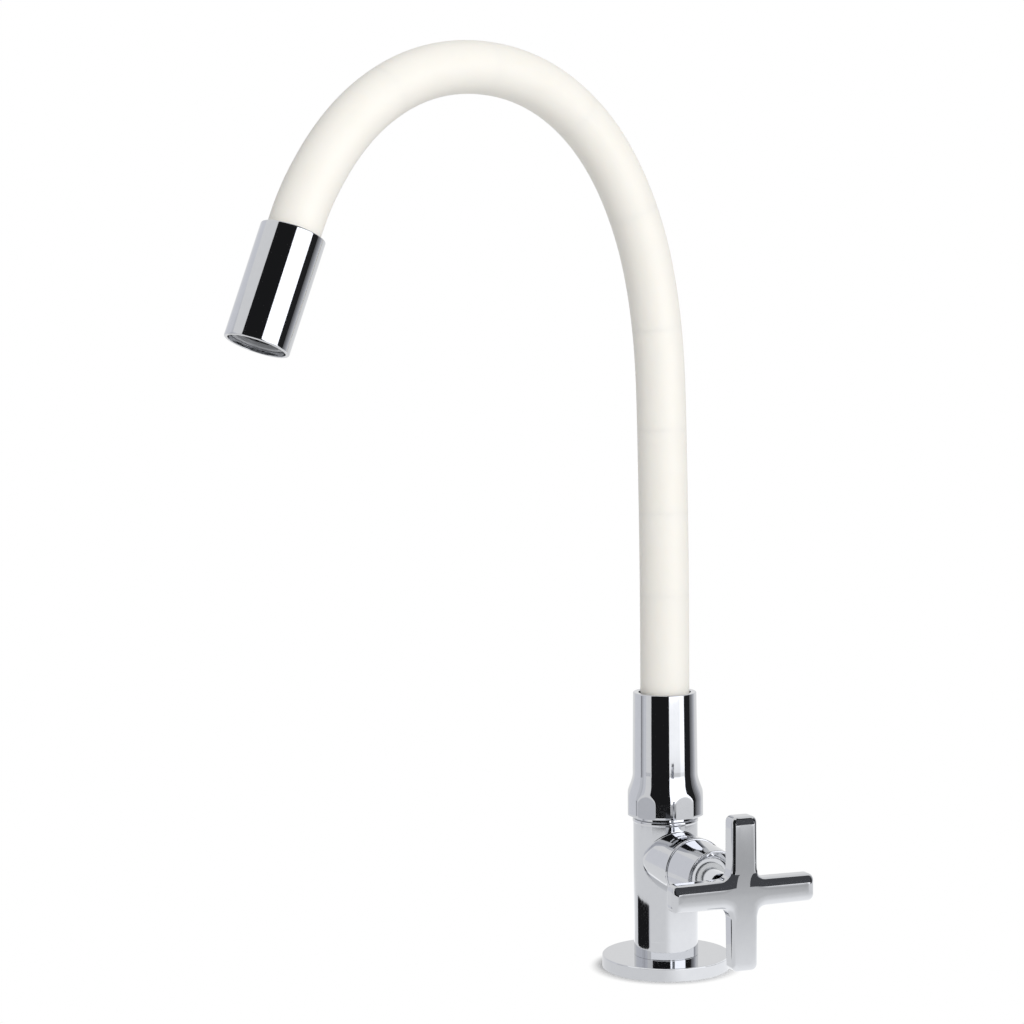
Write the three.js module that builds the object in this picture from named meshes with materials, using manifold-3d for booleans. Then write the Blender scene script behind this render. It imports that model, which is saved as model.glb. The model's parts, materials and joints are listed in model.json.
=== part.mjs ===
// Flexible kitchen faucet: a cold-water pillar tap with a side valve, a cross handle and a bendable
// silicone-covered spout. Millimetres, +Z up, origin where the tap's axis meets the worktop.
// The spout reaches towards -Y, and the valve branch points to the right of it.
import * as THREE from 'three';
import { mergeVertices } from 'three/addons/utils/BufferGeometryUtils.js';
import Module from 'manifold-3d';

const wasm = await Module();
wasm.setup();

// Clearances and the overrun of every cut
const seatGap = 0.3;
const fitGap = 0.3;
const cutOverrun = 4;

// Base flange and its gasket
const flangeRadius = 25;
const flangeHeight = 5;
const flangeEdgeRound = 0.5;
const gasketOuterRadius = 21;
const gasketInnerRadius = 14;
const gasketThickness = 2;

// Inlet shank and what clamps it under the worktop
const shankRadius = 10.3;
const shankBoreRadius = 7;
const shankLength = 48;
const shankChamfer = 1;
const shankSocketDepth = 10;
const worktopThickness = 20;
const rubberWasherRadius = 18;
const rubberWasherThickness = 2.5;
const steelWasherRadius = 19;
const steelWasherThickness = 1.5;
const fixingNutHalfWidth = 15;
const fixingNutHeight = 8;
const fixingNutChamfer = 1.2;

// Valve body: the upright casting
const bodyRadius = 12.5;
const bodyHeight = 53.5;
const bodyFootRadius = 12.95;
const bodyFootHeight = 1.4;
const bodyRimRadius = 12.75;
const bodyRimHeight = 1.5;
const bodyRimChamfer = 0.4;
const shoulderRadius = 11.8;
const shoulderHeight = 1.2;
const neckRadius = 10.3;
const neckHeight = 13;
const neckBoreRadius = 8;
const neckBoreDepth = 15;
const inletBoreRadius = 5.5;
const inletBoreAboveBranch = 4;

// Valve branch on the body
const branchAzimuth = -18.4;
const branchAxisHeight = 43.2;
const branchReach = 28;
const branchRootRadius = 11.6;
const branchMouthRadius = 12.5;
const branchMouthChamfer = 0.5;
const chamberRadius = 9.4;
const chamberStart = 9;
const cartridgeSeatStart = 17.5;
const branchBoreRadius = 10.5;
const seatHoleRadius = 4.3;
const outletPassageRadius = 2.8;
const outletPassageLow = { out: 12.2, up: 6.3 };
const outletPassageHigh = { out: 3.5, up: 16.8 };

// Ceramic cartridge
const seatSealOuterRadius = 7.3;
const seatSealInnerRadius = 4.6;
const seatSealThickness = 2;
const discRadius = 8.1;
const discThickness = 2.5;
const discPortRadius = 1.9;
const discPortOffset = 3.8;
const driveSlotWidth = 2.6;
const driveSlotDepth = 1.2;
const driveSlotLength = 3.2;
const cartridgeHexHalfWidth = 9;
const cartridgeHexCornerRadius = 10.2;
const cartridgeHexLength = 6.2;
const cartridgeNeckRadius = 7.5;
const cartridgeNeckLength = 7.3;
const cartridgeWindowWidth = 6;
const cartridgeWindowLength = 2.4;
const stemBaseRadius = 7.6;
const stemBaseThickness = 2.8;
const stemShaftRadius = 4.8;
const spindleRadius = 3.85;
const spindleShoulderBack = 3;
const stemRingOffset = 12;
const stemRingSection = 0.5;
const stemRingGrooveDepth = 1.1;
const splineToothCount = 8;
const splineToothDepth = 0.6;
const splineLength = 5;
const clipOuterRadius = 6;
const clipThickness = 0.8;
const clipGrooveDepth = 0.6;
const clipMouthWidth = 4;

// Bonnet and the nut that locks it
const bonnetBaseRadius = 12;
const bonnetMouthRadius = 11.2;
const bonnetLength = 17.4;
const bonnetWall = 0.95;
const bonnetLipRound = 0.45;
const bonnetFlangeThickness = 3;
const lockNutHalfWidth = 8.6;
const lockNutCornerRadius = 9.6;
const lockNutHeight = 4.6;
const lockNutStepRadius = 8.3;
const lockNutStepHeight = 0.8;

// Cross handle
const handleFrontReach = 71.5;
const handleSpan = 57.1;
const handleThickness = 7;
const armRootWidth = 10.4;
const armTipWidth = 10.1;
const armTipCornerRadius = 2.2;
const armFilletRadius = 4;
const handleEdgeRound = 1.7;
const handleSocketFloor = 2;
const grubRadius = 1.5;
const grubLength = 3.4;
const grubHexHalfWidth = 0.65;
const grubHexDepth = 1.4;

// Coupling nut over the neck
const couplingTopRadius = 12.3;
const couplingWaistRadius = 12.6;
const couplingHexCornerRadius = 15.15;
const couplingHexHalfWidth = 14.7;
const couplingHeight = 47.9;
const couplingHexHeight = 6;
const couplingFlareHeight = 10.4;
const couplingMouthRadius = 10.15;
const couplingEdgeRound = 0.5;
const couplingClampBoreRadius = 8.6;
const couplingClampThickness = 3.1;
const couplingHexAzimuth = -12;

// Swivel nipple, its rings and the crimp on the hose
const slipWasherThickness = 1.2;
const slipWasherInnerRadius = 8.3;
const nippleTailLength = 13;
const nippleCollarThickness = 2.5;
const nippleBoreRadius = 3.6;
const nippleRingSection = 0.55;
const nippleRingGrooveDepth = 1.15;
const nippleRingDrops = [4.7, 9.7];
const nippleBarbLength = 15.3;
const nippleTubeSocketDepth = 10;
const crimpRingWall = 0.55;
const crimpRingHeight = 7;
const crimpNeckHeight = 9;
const crimpNeckDepth = 0.4;
const crimpRingLift = 1;

// Hose: silicone sleeve, steel gooseneck core and water tube
const hoseRadius = 9.5;
const hoseBoreRadius = 6.3;
const coreOuterRadius = 6;
const coreInnerRadius = 4.6;
const tubeOuterRadius = 4.3;
const tubeInnerRadius = 3.2;
const ballRadius = 8.65;
const socketRadius = 9.15;
const ballTipHeight = 5.4;
const socketLead = 7.5;
const ballLead = 5;
const coreTipHeight = 4.8;
const firstBendHeight = 130;
const lowerSectionLength = 32;
const archSectionLength = 46;
const endSectionLength = 42;
const hoseInsertion = 20;

// Bend in each section at rest, and how far each bend point opens (out), closes (in) or sways
const hoseSections = [
  { length: lowerSectionLength, bend: 0.7, next: { sway: 20 } },
  { length: lowerSectionLength, bend: 0.7, next: { out: 15, in: 15 } },
  { length: lowerSectionLength, bend: 0, next: { out: 12, in: 4 } },
  { length: archSectionLength, bend: 13, next: { out: 19.2, in: 6.4 } },
  { length: archSectionLength, bend: 23, next: { out: 24, in: 8 } },
  { length: archSectionLength, bend: 35.4, next: { out: 24, in: 8 } },
  { length: archSectionLength, bend: 31.3, next: { out: 24, in: 8 } },
  { length: archSectionLength, bend: 33.7, next: { out: 24, in: 8 } },
  { length: endSectionLength, bend: 19.7, next: null },
];
const firstBend = { out: 15, in: 15 };
const mitreMargin = 1;

// Outlet sleeve and aerator
const outletRadius = 11.65;
const outletLength = 41.5;
const outletWall = 1.8;
const outletEdgeRound = 0.5;
const outletClampBoreRadius = 8;
const outletClampThickness = 2;
const outletRecessRadius = 10.3;
const adapterBarbLength = 12.4;
const adapterFlangeThickness = 3.7;
const adapterNeckLength = 4.2;
const adapterTubeSocketDepth = 8;
const aeratorGasketThickness = 1.6;
const aeratorHousingLength = 11.4;
const aeratorWall = 1.4;
const aeratorTopThickness = 1;
const aeratorTopBoreRadius = 5;
const aeratorLipRadius = 7.9;
const aeratorLipHeight = 1.5;
const screenThickness = 1.2;
const screenHoleRadius = 1.1;
const screenRingPitch = 3.1;
const screenRingCounts = [1, 6, 12];
const formerThickness = 2;
const formerHoleRadius = 1;
const formerHoleCircle = 5.6;
const formerHoleCount = 10;
const formerDrop = 3;

// How finely round shapes are faceted
const wideSides = 36;
const midSides = 24;
const smallSides = 12;
const hoseSides = 16;
const coreSides = 8;
const arcSteps = 3;
const bendSteps = 3;
const jointSteps = 2;

// Derived heights on the tap's axis
const bodyBottom = flangeHeight + seatGap;
const bodyTop = bodyBottom + bodyHeight;
const shoulderTop = bodyTop + shoulderHeight;
const neckTop = shoulderTop + neckHeight;
const couplingBottom = shoulderTop + seatGap;
const couplingTop = couplingBottom + couplingHeight;
const slipWasherBottom = neckTop + seatGap;
const collarBottom = slipWasherBottom + slipWasherThickness + seatGap;
const collarTop = collarBottom + nippleCollarThickness;
const clampBottom = collarTop + seatGap;
const clampTop = clampBottom + couplingClampThickness;
const hoseBottom = clampTop + 2 * seatGap;
const barbTop = hoseBottom - seatGap + nippleBarbLength;

// Derived stations along the branch, counted from the tap's axis
const sealStart = chamberStart + seatGap;
const fixedDiscStart = sealStart + seatSealThickness + seatGap;
const movingDiscStart = fixedDiscStart + discThickness + seatGap;
const stemBaseStart = movingDiscStart + discThickness + seatGap;
const stemBaseEnd = stemBaseStart + stemBaseThickness;
const cartridgeStep = cartridgeSeatStart + seatGap;
const cartridgeHexStart = branchReach - fitGap;
const cartridgeHexEnd = cartridgeHexStart + cartridgeHexLength;
const cartridgeEnd = cartridgeHexEnd + cartridgeNeckLength;
const bonnetStart = branchReach + seatGap;
const bonnetEnd = bonnetStart + bonnetLength;
const bonnetFlangeStart = cartridgeHexEnd + seatGap;
const bonnetFlangeEnd = bonnetFlangeStart + bonnetFlangeThickness;
const lockNutStart = bonnetFlangeEnd + seatGap;
const clipStart = cartridgeEnd + seatGap;
const handleBack = handleFrontReach - handleThickness;
const handleMiddle = handleFrontReach - handleThickness / 2;
const socketFloor = handleFrontReach - handleSocketFloor;
const splineEnd = socketFloor - seatGap;
const splineStart = splineEnd - splineLength;

const degrees = Math.PI / 180;

// Geometry helpers

function welded(geometry) {
  // One closed mesh: positions only, shared vertices merged, faces turned outwards.
  geometry.deleteAttribute('normal');
  geometry.deleteAttribute('uv');
  const merged = mergeVertices(geometry);
  const at = merged.getAttribute('position');
  const corners = [new THREE.Vector3(), new THREE.Vector3(), new THREE.Vector3()];
  const kept = [];
  let volume = 0;
  for (let i = 0; i < merged.index.count; i += 3) {
    const face = [0, 1, 2].map((k) => merged.index.getX(i + k));
    if (face[0] === face[1] || face[1] === face[2] || face[2] === face[0]) continue;
    face.forEach((vertex, k) => corners[k].fromBufferAttribute(at, vertex));
    volume += corners[0].dot(corners[1].cross(corners[2]));
    kept.push(...face);
  }
  if (volume < 0) kept.reverse();
  merged.setIndex(kept);
  return merged;
}

function toSolid(geometry) {
  const closed = welded(geometry);
  return new wasm.Manifold(new wasm.Mesh({
    numProp: 3,
    vertProperties: new Float32Array(closed.getAttribute('position').array),
    triVerts: new Uint32Array(closed.index.array),
  }));
}

function toGeometry(solid) {
  const mesh = solid.getMesh();
  const geometry = new THREE.BufferGeometry();
  geometry.setAttribute('position', new THREE.BufferAttribute(new Float32Array(mesh.vertProperties), 3));
  geometry.setIndex(new THREE.BufferAttribute(new Uint32Array(mesh.triVerts), 1));
  return geometry;
}

function cut(geometry, ...tools) {
  return toGeometry(tools.reduce((solid, tool) => solid.subtract(toSolid(tool)), toSolid(geometry)));
}

function joined(geometry, ...others) {
  return toGeometry(others.reduce((solid, other) => solid.add(toSolid(other)), toSolid(geometry)));
}

function common(geometry, other) {
  return toGeometry(toSolid(geometry).intersect(toSolid(other)));
}

function turned(profile, sides) {
  // A solid of revolution about Z from [radius, height] points, ring-shaped if it leaves the axis.
  const points = profile.map(([radius, height]) => new THREE.Vector2(radius, height));
  if (profile.every(([radius]) => radius > 0)) points.push(points[0].clone());
  return new THREE.LatheGeometry(points, sides).rotateX(Math.PI / 2);
}

function ring(inner, outer, low, high, sides) {
  return turned([[inner, low], [outer, low], [outer, high], [inner, high]], sides);
}

function rod(radius, low, high, sides) {
  return turned([[0, low], [radius, low], [radius, high], [0, high]], sides);
}

function arc(centre, radius, from, to, steps) {
  // Points of an arc in the [radius, height] plane, angles in degrees from the outward direction.
  return Array.from({ length: steps + 1 }, (_, k) => {
    const angle = (from + ((to - from) * k) / steps) * degrees;
    return [centre[0] + radius * Math.cos(angle), centre[1] + radius * Math.sin(angle)];
  });
}

function hexPrism(halfWidth, low, high) {
  const corner = halfWidth / Math.cos(Math.PI / 6);
  const prism = new THREE.CylinderGeometry(corner, corner, high - low, 6, 1);
  return prism.rotateX(Math.PI / 2).rotateZ(Math.PI / 6).translate(0, 0, (low + high) / 2);
}

function oRing(ringRadius, section, height) {
  return turned(arc([ringRadius, height], section, 0, 300, 5), midSides);
}

function part(name, geometry, finish) {
  const mesh = new THREE.Mesh(welded(geometry), finish.clone());
  mesh.name = name;
  return mesh;
}

// Finishes

const chrome = new THREE.MeshStandardMaterial({ color: 0xd6d8db, roughness: 0.06, metalness: 1 });
const brass = new THREE.MeshStandardMaterial({ color: 0xc9a25c, roughness: 0.3, metalness: 1 });
const steel = new THREE.MeshStandardMaterial({ color: 0x9fa3a7, roughness: 0.35, metalness: 1 });
const silicone = new THREE.MeshStandardMaterial({ color: 0xf4efe4, roughness: 0.5, metalness: 0 });
const rubber = new THREE.MeshStandardMaterial({ color: 0x202022, roughness: 0.75, metalness: 0 });
const nylon = new THREE.MeshStandardMaterial({ color: 0xe9e9e4, roughness: 0.45, metalness: 0 });
const greyPlastic = new THREE.MeshStandardMaterial({ color: 0x8d9094, roughness: 0.5, metalness: 0 });
const ceramic = new THREE.MeshStandardMaterial({ color: 0xf2f1ec, roughness: 0.15, metalness: 0 });

// Base flange, gasket, shank and the clamp under the worktop

function flange() {
  const bore = shankRadius + fitGap;
  const recessTop = gasketThickness + seatGap;
  const roundCentre = [flangeRadius - flangeEdgeRound, flangeHeight - flangeEdgeRound];
  return turned([
    [bore, 0], [gasketInnerRadius - fitGap, 0], [gasketInnerRadius - fitGap, recessTop],
    [gasketOuterRadius + fitGap, recessTop], [gasketOuterRadius + fitGap, 0], [flangeRadius, 0],
    ...arc(roundCentre, flangeEdgeRound, 0, 90, arcSteps), [bore, flangeHeight],
  ], wideSides);
}

function inletShank() {
  const top = bodyBottom + shankSocketDepth - seatGap;
  const bottom = -shankLength;
  return turned([
    [shankBoreRadius, bottom], [shankRadius - shankChamfer, bottom],
    [shankRadius, bottom + shankChamfer], [shankRadius, top], [shankBoreRadius, top],
  ], midSides);
}

function fixingNut(top) {
  const bottom = top - fixingNutHeight;
  const corner = fixingNutHalfWidth / Math.cos(Math.PI / 6);
  const blank = turned([
    [shankRadius + fitGap, bottom], [corner - fixingNutChamfer, bottom],
    [corner, bottom + fixingNutChamfer], [corner, top - fixingNutChamfer],
    [corner - fixingNutChamfer, top], [shankRadius + fitGap, top],
  ], midSides);
  return common(blank, hexPrism(fixingNutHalfWidth, bottom - cutOverrun, top + cutOverrun));
}

function underDeckParts() {
  const washerBore = shankRadius + fitGap;
  const rubberTop = -worktopThickness;
  const steelTop = rubberTop - rubberWasherThickness - seatGap;
  const nutTop = steelTop - steelWasherThickness - seatGap;
  const washer = (radius, thickness, top) => ring(washerBore, radius, top - thickness, top, midSides);
  return [
    part('deck_rubber_washer', washer(rubberWasherRadius, rubberWasherThickness, rubberTop), rubber),
    part('deck_steel_washer', washer(steelWasherRadius, steelWasherThickness, steelTop), steel),
    part('fixing_nut', fixingNut(nutTop), brass),
  ];
}

// Valve body with its side branch, its waterways and the threaded neck

function onBranch(geometry) {
  // From branch coordinates, +Z along the branch and -X upwards, to the tap's frame.
  return geometry.rotateY(Math.PI / 2).rotateZ(branchAzimuth * degrees).translate(0, 0, branchAxisHeight);
}

function bodyShell() {
  const rimBottom = bodyTop - bodyRimHeight;
  return turned([
    [0, bodyBottom], [bodyFootRadius, bodyBottom], [bodyFootRadius, bodyBottom + bodyFootHeight / 2],
    [bodyRadius, bodyBottom + bodyFootHeight], [bodyRadius, rimBottom],
    [bodyRimRadius, rimBottom + bodyRimChamfer], [bodyRimRadius, bodyTop - bodyRimChamfer],
    [bodyRimRadius - bodyRimChamfer, bodyTop], [shoulderRadius, bodyTop], [shoulderRadius, shoulderTop],
    [neckRadius, shoulderTop], [neckRadius, neckTop], [0, neckTop],
  ], wideSides);
}

function branchShell() {
  return onBranch(turned([
    [0, 0], [branchRootRadius, 0], [branchMouthRadius, branchReach - branchMouthChamfer],
    [branchMouthRadius - branchMouthChamfer, branchReach], [0, branchReach],
  ], wideSides));
}

function branchCavity() {
  return onBranch(turned([
    [0, 0], [seatHoleRadius, 0], [seatHoleRadius, chamberStart], [chamberRadius, chamberStart],
    [chamberRadius, cartridgeSeatStart], [branchBoreRadius, cartridgeSeatStart],
    [branchBoreRadius, branchReach + cutOverrun], [0, branchReach + cutOverrun],
  ], midSides));
}

function outletPassage() {
  // The slanted drilling from the cartridge chamber up into the neck.
  const run = outletPassageLow.out - outletPassageHigh.out;
  const rise = outletPassageHigh.up - outletPassageLow.up;
  const drill = rod(outletPassageRadius, 0, Math.hypot(run, rise), smallSides);
  drill.rotateY(-Math.atan2(run, rise)).translate(outletPassageLow.out, 0, outletPassageLow.up);
  return drill.rotateZ(branchAzimuth * degrees).translate(0, 0, branchAxisHeight);
}

function valveBody() {
  const socketTop = bodyBottom + shankSocketDepth;
  const bores = turned([
    [0, bodyBottom - cutOverrun], [shankRadius + fitGap, bodyBottom - cutOverrun],
    [shankRadius + fitGap, socketTop], [inletBoreRadius, socketTop],
    [inletBoreRadius, branchAxisHeight + inletBoreAboveBranch],
    [0, branchAxisHeight + inletBoreAboveBranch],
  ], midSides);
  const neckBore = rod(neckBoreRadius, neckTop - neckBoreDepth, neckTop + cutOverrun, midSides);
  return cut(joined(bodyShell(), branchShell()), bores, neckBore, branchCavity(), outletPassage());
}

// Ceramic cartridge, in branch coordinates

function fixedDisc() {
  const top = fixedDiscStart + discThickness;
  const ports = [-1, 1].map((side) => rod(
    discPortRadius, fixedDiscStart - cutOverrun, top + cutOverrun, smallSides,
  ).translate(side * discPortOffset, 0, 0));
  return cut(rod(discRadius, fixedDiscStart, top, midSides), ...ports);
}

function movingDisc() {
  // Closed at rest: its two mouths, open to the rim, lie a quarter turn away from the fixed ports.
  const top = movingDiscStart + discThickness;
  const tools = [-1, 1].flatMap((side) => {
    const hole = rod(discPortRadius, movingDiscStart - cutOverrun, top + cutOverrun, smallSides);
    const mouth = new THREE.BoxGeometry(2 * discPortRadius, discRadius, discThickness + 2 * cutOverrun);
    const slot = new THREE.BoxGeometry(driveSlotLength, driveSlotWidth, 2 * driveSlotDepth);
    return [
      hole.translate(0, side * discPortOffset, 0),
      mouth.translate(0, side * (discPortOffset + discRadius / 2), (movingDiscStart + top) / 2),
      slot.translate(side * discPortOffset, 0, top),
    ];
  });
  return cut(rod(discRadius, movingDiscStart, top, midSides), ...tools);
}

function cartridgeBody() {
  const cavityRadius = discRadius + fitGap;
  const boreRadius = stemShaftRadius + fitGap;
  const skirtRadius = chamberRadius - fitGap;
  const cavityEnd = stemBaseEnd + seatGap;
  const shell = turned([
    [cavityRadius, fixedDiscStart], [skirtRadius, fixedDiscStart], [skirtRadius, cartridgeStep],
    [branchBoreRadius - fitGap, cartridgeStep], [branchBoreRadius - fitGap, cartridgeHexStart],
    [cartridgeHexCornerRadius, cartridgeHexStart], [cartridgeHexCornerRadius, cartridgeHexEnd],
    [cartridgeNeckRadius, cartridgeHexEnd], [cartridgeNeckRadius, cartridgeEnd],
    [boreRadius, cartridgeEnd], [boreRadius, cavityEnd], [cavityRadius, cavityEnd],
  ], midSides);
  const outside = cartridgeHexCornerRadius + cutOverrun;
  const hexCutter = cut(
    rod(outside, cartridgeHexStart, cartridgeHexEnd, midSides),
    hexPrism(cartridgeHexHalfWidth, cartridgeHexStart - cutOverrun, cartridgeHexEnd + cutOverrun),
  );
  const window = new THREE.BoxGeometry(cartridgeWindowWidth, 4 * chamberRadius, cartridgeWindowLength);
  window.translate(0, 0, movingDiscStart + cartridgeWindowLength / 2);
  return cut(shell, hexCutter, window);
}

function splineOutline(extra) {
  const outline = new THREE.Shape();
  const steps = splineToothCount * 4;
  for (let k = 0; k < steps; k += 1) {
    const radius = spindleRadius + extra - (k % 4 < 2 ? 0 : splineToothDepth);
    const angle = (k / steps) * 2 * Math.PI;
    const move = k === 0 ? 'moveTo' : 'lineTo';
    outline[move](radius * Math.cos(angle), radius * Math.sin(angle));
  }
  outline.closePath();
  return outline;
}

function cartridgeStem() {
  const ringStation = stemBaseEnd + stemRingOffset;
  const grooveHalf = stemRingSection + fitGap;
  const shaftEnd = cartridgeEnd - spindleShoulderBack;
  const clipEnd = clipStart + clipThickness + seatGap;
  const turnedStem = turned([
    [0, stemBaseStart], [stemBaseRadius, stemBaseStart], [stemBaseRadius, stemBaseEnd],
    [stemShaftRadius, stemBaseEnd], [stemShaftRadius, ringStation - grooveHalf],
    [stemShaftRadius - stemRingGrooveDepth, ringStation - grooveHalf],
    [stemShaftRadius - stemRingGrooveDepth, ringStation + grooveHalf],
    [stemShaftRadius, ringStation + grooveHalf], [stemShaftRadius, shaftEnd], [spindleRadius, shaftEnd],
    [spindleRadius, clipStart - seatGap], [spindleRadius - clipGrooveDepth, clipStart - seatGap],
    [spindleRadius - clipGrooveDepth, clipEnd], [spindleRadius, clipEnd],
    [spindleRadius, splineStart], [0, splineStart],
  ], midSides);
  const spline = new THREE.ExtrudeGeometry(splineOutline(0), { depth: splineLength, bevelEnabled: false });
  const lugs = [-1, 1].map((side) => new THREE.BoxGeometry(
    driveSlotLength - 2 * fitGap, driveSlotWidth - 2 * fitGap, driveSlotDepth,
  ).translate(side * discPortOffset, 0, stemBaseStart - driveSlotDepth / 2 + fitGap));
  return joined(turnedStem, spline.translate(0, 0, splineStart), ...lugs);
}

function retainingClip() {
  const bore = spindleRadius - clipGrooveDepth + fitGap;
  const mouth = new THREE.BoxGeometry(2 * clipOuterRadius, clipMouthWidth, clipThickness + 2 * cutOverrun);
  mouth.translate(clipOuterRadius, 0, clipStart);
  return cut(ring(bore, clipOuterRadius, clipStart, clipStart + clipThickness, midSides), mouth);
}

function bonnet() {
  const flangeBore = cartridgeNeckRadius + fitGap;
  const baseBore = cartridgeHexCornerRadius + fitGap;
  const mouthBore = bonnetMouthRadius - bonnetWall;
  const lipCentre = [bonnetMouthRadius - bonnetLipRound, bonnetEnd - bonnetLipRound];
  return turned([
    [baseBore, bonnetStart], [bonnetBaseRadius - bonnetLipRound, bonnetStart],
    [bonnetBaseRadius, bonnetStart + bonnetLipRound],
    ...arc(lipCentre, bonnetLipRound, 0, 90, arcSteps), [mouthBore, bonnetEnd],
    [mouthBore, bonnetFlangeEnd], [flangeBore, bonnetFlangeEnd], [flangeBore, bonnetFlangeStart],
    [baseBore, bonnetFlangeStart],
  ], wideSides);
}

function bonnetLockNut() {
  const bore = cartridgeNeckRadius + fitGap;
  const top = lockNutStart + lockNutHeight;
  const blank = turned([
    [bore, lockNutStart], [lockNutCornerRadius, lockNutStart],
    [lockNutCornerRadius, top - lockNutStepHeight], [lockNutStepRadius, top - lockNutStepHeight],
    [lockNutStepRadius, top], [bore, top],
  ], midSides);
  return common(blank, hexPrism(lockNutHalfWidth, lockNutStart - cutOverrun, top + cutOverrun));
}

// Cross handle

function crossOutline() {
  const half = handleSpan / 2;
  const root = armRootWidth / 2;
  const tip = armTipWidth / 2;
  const corner = root + armFilletRadius;
  const cross = new THREE.Shape();
  cross.moveTo(corner, -root);
  for (const [cos, sin] of [[1, 0], [0, 1], [-1, 0], [0, -1]]) {
    const at = (out, side) => [out * cos - side * sin, out * sin + side * cos];
    cross.lineTo(...at(half - armTipCornerRadius, -tip));
    cross.quadraticCurveTo(...at(half, -tip), ...at(half, armTipCornerRadius - tip));
    cross.lineTo(...at(half, tip - armTipCornerRadius));
    cross.quadraticCurveTo(...at(half, tip), ...at(half - armTipCornerRadius, tip));
    cross.lineTo(...at(corner, root));
    cross.quadraticCurveTo(...at(root, root), ...at(root, corner));
  }
  return cross;
}

function crossHandle() {
  const cross = new THREE.ExtrudeGeometry(crossOutline(), {
    depth: handleThickness - 2 * handleEdgeRound,
    curveSegments: 4,
    bevelThickness: handleEdgeRound,
    bevelSize: handleEdgeRound,
    bevelOffset: -handleEdgeRound,
    bevelSegments: 3,
  });
  cross.translate(0, 0, handleBack + handleEdgeRound);
  const socket = new THREE.ExtrudeGeometry(splineOutline(fitGap), {
    depth: socketFloor - handleBack + cutOverrun,
    bevelEnabled: false,
  });
  const screwHole = rod(grubRadius + fitGap, 0, handleSpan / 2, smallSides);
  return cut(cross, socket.translate(0, 0, handleBack - cutOverrun), grubPlaced(screwHole));
}

function grubPlaced(geometry) {
  // The set screw lies in the web between two arms, down and to the left in the usual view.
  return geometry.rotateY(Math.PI / 2).rotateZ(-Math.PI / 4).translate(0, 0, handleMiddle);
}

function handleGrubScrew() {
  const start = spindleRadius + fitGap + seatGap;
  const end = start + grubLength;
  const hexSocket = hexPrism(grubHexHalfWidth, end - grubHexDepth, end + cutOverrun);
  return grubPlaced(cut(rod(grubRadius, start, end, smallSides), hexSocket));
}

function branchParts() {
  // The fixed pieces and the turning pieces of the side valve, in the branch's own frame.
  const branch = new THREE.Group();
  branch.rotation.set(0, Math.PI / 2, branchAzimuth * degrees, 'ZYX');
  branch.position.z = branchAxisHeight;
  const sealEnd = sealStart + seatSealThickness;
  const stemRingRadius = stemShaftRadius - stemRingGrooveDepth / 2 + fitGap / 2;
  const stemRing = oRing(stemRingRadius, stemRingSection, stemBaseEnd + stemRingOffset);
  const seal = ring(seatSealInnerRadius, seatSealOuterRadius, sealStart, sealEnd, midSides);
  branch.add(
    part('cartridge_seat_seal', seal, rubber),
    part('fixed_ceramic_disc', fixedDisc(), ceramic),
    part('moving_ceramic_disc', movingDisc(), ceramic),
    part('cartridge_body', cartridgeBody(), chrome),
    part('cartridge_stem', cartridgeStem(), chrome),
    part('stem_o_ring', stemRing, rubber),
    part('stem_retaining_clip', retainingClip(), steel),
    part('bonnet', bonnet(), chrome),
    part('bonnet_lock_nut', bonnetLockNut(), chrome),
    part('cross_handle', crossHandle(), chrome),
    part('handle_grub_screw', handleGrubScrew(), steel),
  );
  return branch;
}

// Coupling nut, swivel nipple and their rings

function couplingNut() {
  // A plain sleeve that flares in an ogee to the arched flats of the hexagon.
  const threadBore = neckRadius + fitGap;
  const flareBottom = couplingBottom + couplingHexHeight;
  const flareWidth = couplingHexCornerRadius - couplingWaistRadius;
  const flareAt = (share) => [
    couplingHexCornerRadius - flareWidth * (1 - Math.cos(share * Math.PI)) / 2,
    flareBottom + couplingFlareHeight * share,
  ];
  const flare = [0, 1, 2, 3, 4, 5, 6, 7, 8].map((k) => flareAt(k / 8));
  const blank = turned([
    [threadBore, couplingBottom], [couplingHexCornerRadius - couplingEdgeRound, couplingBottom],
    [couplingHexCornerRadius, couplingBottom + couplingEdgeRound], ...flare,
    [couplingTopRadius, couplingTop - couplingEdgeRound],
    [couplingTopRadius - couplingEdgeRound, couplingTop], [couplingMouthRadius, couplingTop],
    [couplingMouthRadius, clampTop], [couplingClampBoreRadius, clampTop],
    [couplingClampBoreRadius, clampBottom], [threadBore, clampBottom],
  ], wideSides);
  const flatsTop = flareBottom + couplingFlareHeight;
  const flats = cut(
    rod(couplingHexCornerRadius + cutOverrun, couplingBottom - cutOverrun, flatsTop, midSides),
    hexPrism(couplingHexHalfWidth, couplingBottom - 2 * cutOverrun, flatsTop + cutOverrun),
  );
  return cut(blank, flats.rotateZ((couplingHexAzimuth + 30) * degrees));
}

function spoutNipple() {
  const tailRadius = neckBoreRadius - fitGap;
  const tailBottom = collarBottom - slipWasherThickness - nippleTailLength;
  const throatRadius = couplingClampBoreRadius - fitGap;
  const grooves = nippleRingDrops.toReversed().flatMap((drop) => {
    const middle = neckTop - drop;
    const half = nippleRingSection + fitGap;
    const floor = tailRadius - nippleRingGrooveDepth;
    return [
      [tailRadius, middle - half], [floor, middle - half],
      [floor, middle + half], [tailRadius, middle + half],
    ];
  });
  const socketBottom = barbTop - nippleTubeSocketDepth;
  return turned([
    [nippleBoreRadius, tailBottom], [tailRadius, tailBottom], ...grooves, [tailRadius, collarBottom],
    [neckRadius - fitGap, collarBottom], [neckRadius - fitGap, collarTop], [throatRadius, collarTop],
    [throatRadius, hoseBottom - seatGap], [coreOuterRadius, hoseBottom - seatGap],
    [coreOuterRadius, barbTop], [coreInnerRadius, barbTop], [coreInnerRadius, socketBottom],
    [nippleBoreRadius, socketBottom],
  ], midSides);
}

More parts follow.
